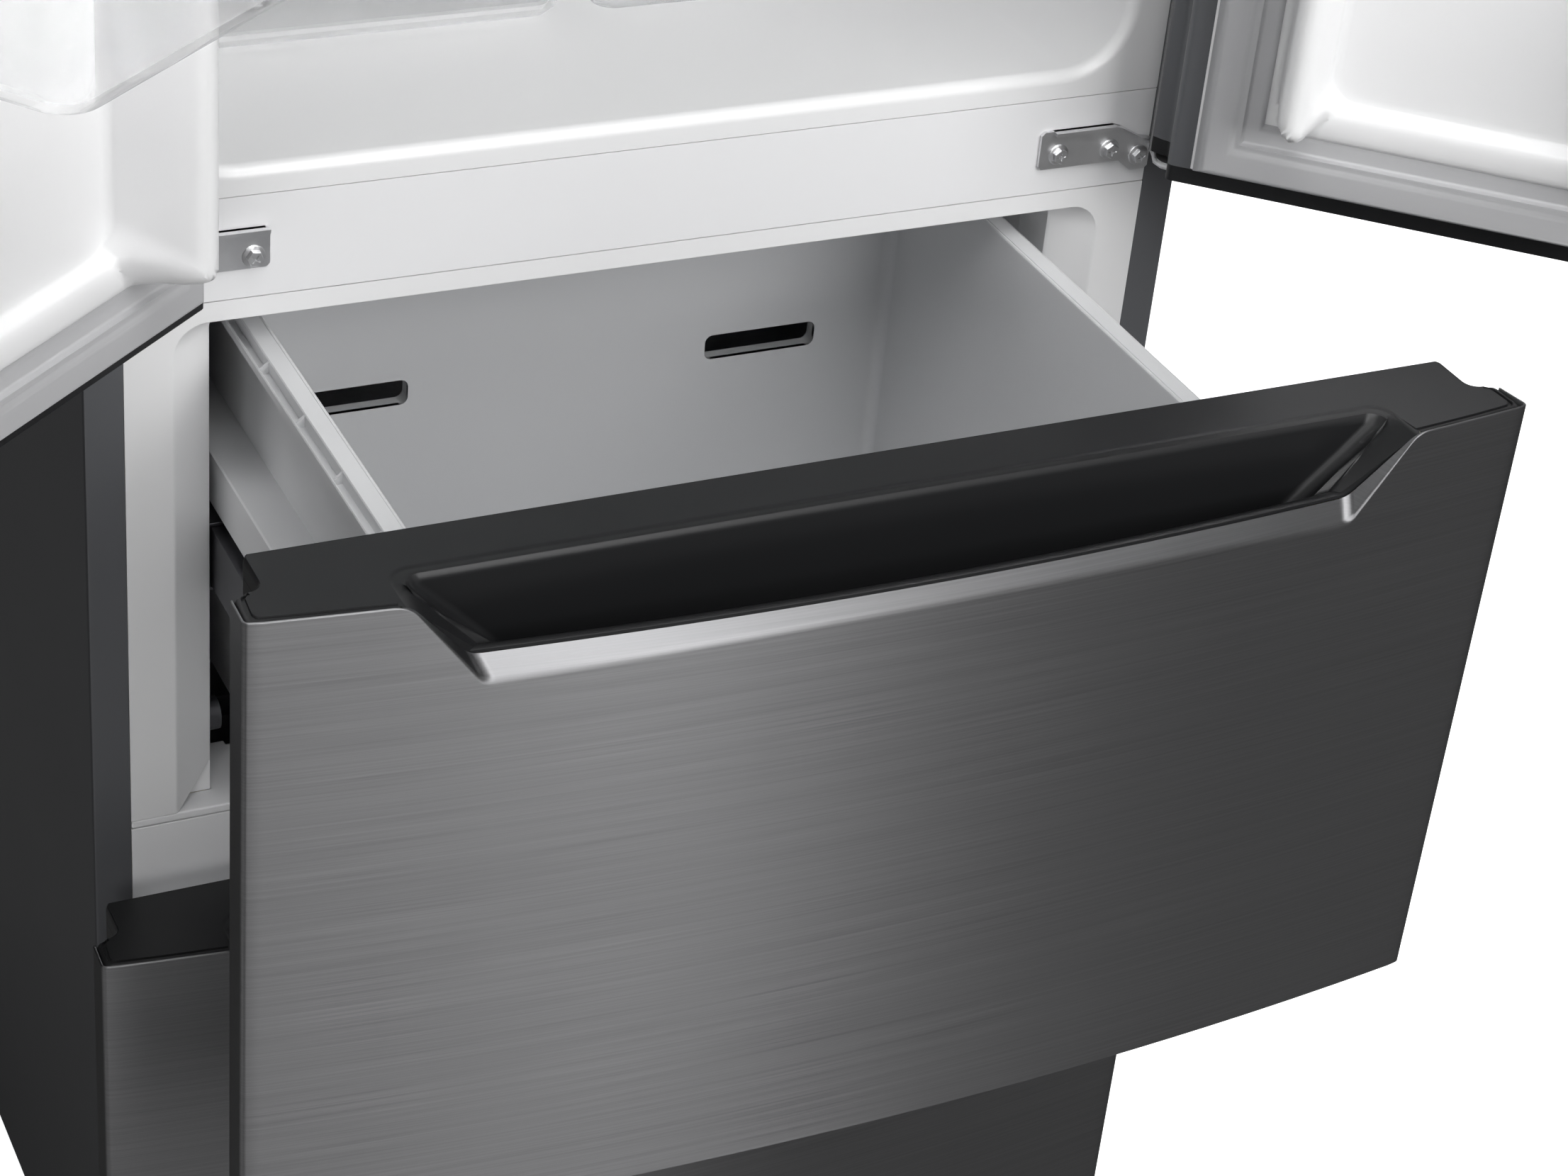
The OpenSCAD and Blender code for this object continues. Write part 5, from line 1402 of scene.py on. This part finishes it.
    def freezer_space(self) -> None:
        """Builds the freezer liner: two openings, the plinth and the stepped room behind them."""
        builder = Builder()
        self.mouth(builder, OPEN_LOW + 0.2, OPEN_TOP, self.rail_reach)
        self.mouth(builder, LOW_OPEN_LOW, LOW_OPEN_TOP - 0.2, 0.0)
        wide, front = INNER_HALF - 0.2, BEVEL_D + self.throat_d
        foot = PLINTH_TOP + 0.3
        plinth = [(-wide, foot), (wide, foot), (wide, LOW_OPEN_LOW), (-wide, LOW_OPEN_LOW)]
        builder.prism(plinth, 0.0, front, "y")
        builder.make("freezer_front_frame", "root", [Finishes.white], ["freezer_liner"], smooth=30.0)
        room = Builder()
        wall = [(front, LOW_OPEN_LOW), (STEP_Y, LOW_OPEN_LOW), (STEP_Y, STEP_Z), (LINER_BACK, STEP_Z + 4.0),
                (LINER_BACK, OPEN_TOP), (front, OPEN_TOP)]
        left, right = [room.ring([(x, y, z) for y, z in wall]) for x in (-FREEZER_HALF, FREEZER_HALF)]
        for i in range(len(wall) - 1):
            room.face((left[i], left[i + 1], right[i + 1], right[i]))
        room.face(left)
        room.face(right)
        room.soften(9.0, 4)
        self.walled(room.make("freezer_room", "root", [Finishes.white], smooth=40.0))

    def back(self) -> None:
        """Builds the back panel with pressed fields, its screws and the compressor's cover."""
        builder = Builder()
        wide, y = HALF_W - 1.3, self.back_y
        panel = Rect(-wide, wide, 180.3, CAB_H - 1.3)
        steps = ((0.0, y - 1.0, 1.0), (0.0, y, 1.0), (34.0, y, 24.0), (36.0, y - 0.75, 22.0),
                 (60.0, y - 0.75, 16.0), (62.0, y, 14.0), (120.0, y, 10.0))
        builder.loft([at_y(panel.rounded(radius, -inset), depth) for inset, depth, radius in steps])
        builder.make("back_sheet", "root", [Finishes.zinc], ["back_panel"])
        softened("compressor_cover", "machine_cover", Finishes.zinc, 0.3, 1)
        for side in (LEFT, RIGHT):
            heights = (200.0, 520.0, 860.0, 1200.0, 1540.0, 1860.0)
            points = [(side * (wide - 9.0), y - 4.1, z) for z in heights]
            REPEATS.screws(points, f"{SIDE_NAME[side]}_back_screws", -90.0, BACK_SEED + side, Finishes.zinc)

    def build(self) -> None:
        """Builds every piece of the cabinet."""
        self.wrapper()
        self.fridge_space()
        self.freezer_space()
        softened("mid_rail_cover", "mid_rail_face", Finishes.rail, 1.6, 3)
        softened("lower_crossbar", "drawer_crossbar", Finishes.rail, 1.2, 3)
        softened("lower_rail_cover", "crossbar_face", Finishes.rail, 0.7)
        softened("toe_kick", "toe_kick_panel", Finishes.black, 0.4)
        softened("mid_crossbar", "rail_stiffener", Finishes.zinc, 0.6)
        Hinges(LEFT, 231.0, 818.5, 841.5, 0.6, 9.0).build()
        Hinges(RIGHT, 235.0, 816.6, 840.4, 8.0, 12.5).build()
        softened("hinge_covers", "top_hinge_covers", Finishes.black, 2.0, 3)
        self.back()
        softened("glass_shelves", "shelf_panes", Finishes.glass, 0.8)
        softened("shelf_trims", "shelf_front_trims", Finishes.rail, 1.6, 3)
        softened("air_duct_cover", "duct_panel", Finishes.white, 1.5)
        softened("fridge_lamp", "lamp_cover", Finishes.lamp, 1.5)
        # The slide channels take the darkened steel, as painted shade
        softened("slide_channels", "slide_channels_steel", Finishes.slide, 0.4)
        for side in (LEFT, RIGHT):
            Crisper(side).build()
        softened("base_pan", "base_pan_steel", Finishes.zinc, 0.5)
        softened("levelling_feet", "feet_plastic", Finishes.black, 1.2)
        softened("rear_rollers", "roller_wheels", Finishes.black, 1.5, body="rear_rollers")


@dataclass
class Crisper:
    """A clear vegetable drawer on the fridge floor."""

    side: int
    x0: float = 5.0
    x1: float = 268.5
    front: float = 134.0
    back: float = 498.0
    height: float = 184.0
    lean: float = 4.0

    def build(self) -> None:
        """Builds the drawer's tub with its thick front edge and pull."""
        place = Matrix.Scale(self.side, 4, (1, 0, 0))
        name = f"{SIDE_NAME[self.side]}_crisper"
        low = FRIDGE_FLOOR + 0.6
        top = low + self.height - 1.0
        rim = Rect(self.x0, self.x1, self.front, self.back)
        levels = ((-14.0, low, 10.0), (-6.0, low + 1.5, 12.0), (-1.5, low + 7.0, 13.0),
                  (0.0, low + 16.0, 14.0), (0.0, top - 14.0, 14.0), (0.0, top - 1.0, 14.0),
                  (-0.6, top, 13.6), (-2.6, top, 12.0), (-3.0, top - 1.0, 11.6), (-3.0, low + 18.0, 11.0),
                  (-6.0, low + 8.0, 10.0), (-15.0, low + 4.0, 8.0))
        rings = []
        for grow, z, radius in levels:
            lean = self.lean * (1 - (z - low) / self.height)
            rings.append(at_z(rim.rounded(radius, grow - lean), z))
        tub = Builder(place)
        tub.loft(rings)
        tub.make(f"{name}_tub", name, [Finishes.clear], [name])
        front = self.front
        outline = [(front, top - 27.0), (front, top), (front + 4.0, top + 0.6), (front + 20.0, top + 0.6),
                   (front + 20.0, top - 1.6), (front + 5.0, top - 2.0), (front + 3.0, top - 26.0)]
        pull = Builder(place)
        pull.prism(outline, self.x0 + 34.0, self.x1 - 34.0, "x")
        pull.soften(0.8, 2)
        pull.make(f"{name}_pull", name, [Finishes.rail])


@dataclass
class Cooling:
    """The evaporator, the fan, the compressor and the drip tray."""

    tube_r: float = 4.0
    tube_x: float = 240.0
    rows: int = 5
    row_pitch: float = 34.0
    fins: int = 45

    def evaporator(self) -> None:
        """Builds the evaporator's tubes and its row of thin fins."""
        low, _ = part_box("evaporator")
        y0, z0 = low.y * 1000, low.z * 1000
        wide = self.tube_x
        tubes = Builder()
        for row in range(self.rows):
            z = z0 + 17.0 + self.row_pitch * row
            for y in (y0 + 9.0, y0 + 27.0):
                tubes.tube([(-wide, y, z), (wide, y, z)], self.tube_r, 12)
            for side in (LEFT, RIGHT):
                bend = [(wide, y0 + 9.0), (wide + 4.2, y0 + 11.0), (wide + 6.0, y0 + 18.0),
                        (wide + 4.2, y0 + 25.0),
                        (wide, y0 + 27.0)]
                tubes.tube(at_z(on_side(side, bend), z), self.tube_r, 12)
        tubes.make("evaporator_tubes", "root", [Finishes.fins], ["evaporator"])
        fin = Builder()
        fin.block((-220.0, y0, z0), (-219.4, y0 + 36.0, z0 + 170.0))
        REPEATS.along(fin, "evaporator_fins", "root", Finishes.fins, self.fins, (10, 0, 0))

    def build(self) -> None:
        """Builds the cooling parts."""
        self.evaporator()
        softened("evaporator_cover", "evaporator_panel", Finishes.white, 0.8)
        softened("fan_rotor", "fan_blades", Finishes.black, 0.4, body="evaporator_fan")
        softened("compressor", "compressor_shell", Finishes.motor, 1.5)
        softened("drip_tray", "drip_tray_tub", Finishes.rail, 1.0)
        mesh = bpy.data.objects["cabinet_foam"].data
        mesh.materials.clear()
        mesh.materials.append(Finishes.foam.material())


@dataclass(frozen=True)
class SoftBox:
    """One rectangular soft light: where it hangs and aims in metres, its size and its watts."""

    name: str
    spot: Point
    target: Point
    size: Flat
    power: float
    diffuse: bool = True
    gloss: bool = True

    def hang(self) -> None:
        """Adds the light, seen in matt surfaces or mirrored in glossy ones as it is set."""
        data = bpy.data.lights.new(self.name, "AREA")
        data.shape = "RECTANGLE"
        data.size, data.size_y = self.size
        data.energy = self.power
        light = linked(self.name, data)
        light.visible_camera = False
        light.visible_diffuse = self.diffuse
        light.visible_glossy = self.gloss
        aim = (Vector(self.target) - Vector(self.spot)).to_track_quat("-Z", "Y")
        light.matrix_world = Matrix.Translation(self.spot) @ aim.to_matrix().to_4x4()


LIGHTS = (
    SoftBox("top_light", (-0.2, -1.5, 3.3), (0.0, 0.0, 0.7), (2.4, 1.8), 46.0),
    SoftBox("front_fill", (1.1, -2.45, 1.9), (0.0, 0.0, 0.75), (1.8, 1.4), 55.0, gloss=False),
    SoftBox("left_box", (-2.0, -0.5, 2.2), (0.1, -0.3, 0.75), (1.6, 1.4), 15.0, gloss=False),
    SoftBox("low_fill", (-1.5, -2.0, 0.8), (-0.3, 0.0, 0.5), (1.0, 1.0), 11.0, gloss=False),
    SoftBox("slant_box", (-2.0, -0.5, 2.2), (0.1, -0.3, 0.75), (1.6, 1.4), 40.0, diffuse=False),
    SoftBox("band_strip", (0.5, -2.48, 1.9), (0.0, -0.3, 0.6), (0.4, 1.5), 21.0, diffuse=False),
    SoftBox("near_strip", (-0.35, -2.7, 1.9), (0.0, -0.3, 0.6), (0.5, 1.5), 9.0, diffuse=False),
    SoftBox("lip_box", (0.45, -1.1, 3.1), (0.0, -0.33, 0.8), (1.7, 1.3), 30.0, diffuse=False),
    SoftBox("end_strip", (2.2, -1.8, 1.9), (0.2, -0.3, 0.6), (0.8, 1.5), 4.0, diffuse=False),
    SoftBox("back_light", (0.8, 3.0, 2.2), (0.0, 0.6, 0.9), (2.0, 2.0), 40.0),
    SoftBox("edge_strip", (-1.5, -2.36, 1.9), (0.0, -0.3, 0.6), (0.4, 1.5), 10.0, diffuse=False),
)


@dataclass
class Studio:
    """Floor, surroundings, soft lights and the camera."""

    eye: Point = (-0.7408, -1.5559, 1.6640)
    right: Point = (0.90169, -0.4235, 0.08719)
    down: Point = (-0.16059, -0.51524, -0.84186)
    ahead: Point = (0.40145, 0.7451, -0.5326)
    lens: float = 78.66
    reach: float = 9.0
    backdrop: float = 1.05
    room_light: Flat = (0.14, 0.55)
    floor_glow: float = 0.9

    def camera(self) -> None:
        """Sets the camera at the photograph's viewing angle."""
        data = bpy.data.cameras.new("view")
        data.lens = self.lens
        data.sensor_width = 36.0
        data.clip_end = 50.0
        camera = linked("view", data)
        turn = Matrix((self.right, [-c for c in self.down], [-c for c in self.ahead])).transposed().to_4x4()
        camera.matrix_world = Matrix.Translation(self.eye) @ turn
        bpy.context.scene.camera = camera

    def seen_rays(self, tree: NodeTree) -> NodeSocket:
        """Returns 1 for the camera's rays, straight or through something clear, and 0 for all others."""
        ray = add(tree, "ShaderNodeLightPath").outputs
        return maths(tree, "MAXIMUM", ray["Is Camera Ray"], ray["Is Transmission Ray"])

    def surroundings(self) -> None:
        """Builds the world: white to the camera, and to all else a grey room that is lighter overhead."""
        world = bpy.data.worlds.new("room")
        bpy.context.scene.world = world
        world.use_nodes = True
        tree = world.node_tree
        way = add(tree, "ShaderNodeTexCoord").outputs["Generated"]
        height = add(tree, "ShaderNodeSeparateXYZ", {0: way}).outputs["Z"]
        room = tree.nodes["Background"]
        feed(tree, room, {"Strength": spread(tree, height, 0.0, 0.9, self.room_light)})
        white = add(tree, "ShaderNodeBackground", {"Color": (1.0, 1.0, 1.0, 1.0), "Strength": self.backdrop})
        inputs = {0: self.seen_rays(tree), 1: room.outputs[0], 2: white.outputs[0]}
        mix = add(tree, "ShaderNodeMixShader", inputs)
        feed(tree, tree.nodes["World Output"], {"Surface": mix.outputs[0]})

    def floor(self) -> None:
        """Lays the pale floor, which glows white to the camera."""
        mesh = bpy.data.meshes.new("studio_floor")
        far = self.reach
        mesh.from_pydata([(-far, -far, 0), (far, -far, 0), (far, far, 0), (-far, far, 0)], [], [(0, 1, 2, 3)])
        floor = linked("studio_floor", mesh)
        paper = bpy.data.materials.new("pale_paper")
        paper.use_nodes = True
        tree = paper.node_tree
        seen = self.seen_rays(tree)
        feed(tree, tree.nodes["Principled BSDF"], {
            "Roughness": 0.9, "Emission Color": (1.0, 1.0, 1.0, 1.0),
            "Base Color": blended(tree, seen, (0.15, 0.15, 0.15), (0.88, 0.88, 0.88)),
            "Emission Strength": maths(tree, "MULTIPLY", seen, self.floor_glow)})
        mesh.materials.append(paper)

    def build(self) -> None:
        """Sets up the studio."""
        self.camera()
        self.surroundings()
        self.floor()
        bpy.context.scene.view_settings.view_transform = "Standard"
        for light in LIGHTS:
            light.hang()


def main() -> None:
    """Builds the appliance's pieces, their finishes and the studio."""
    logging.basicConfig(level=logging.INFO, format="%(message)s")
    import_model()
    Studio().build()
    Cabinet().build()
    Cooling().build()
    for side in (LEFT, RIGHT):
        Door(side).build()
    for level in (UPPER, LOWER):
        Drawer(level).build()
    bpy.context.view_layer.update()


if __name__ == "__main__":
    main()
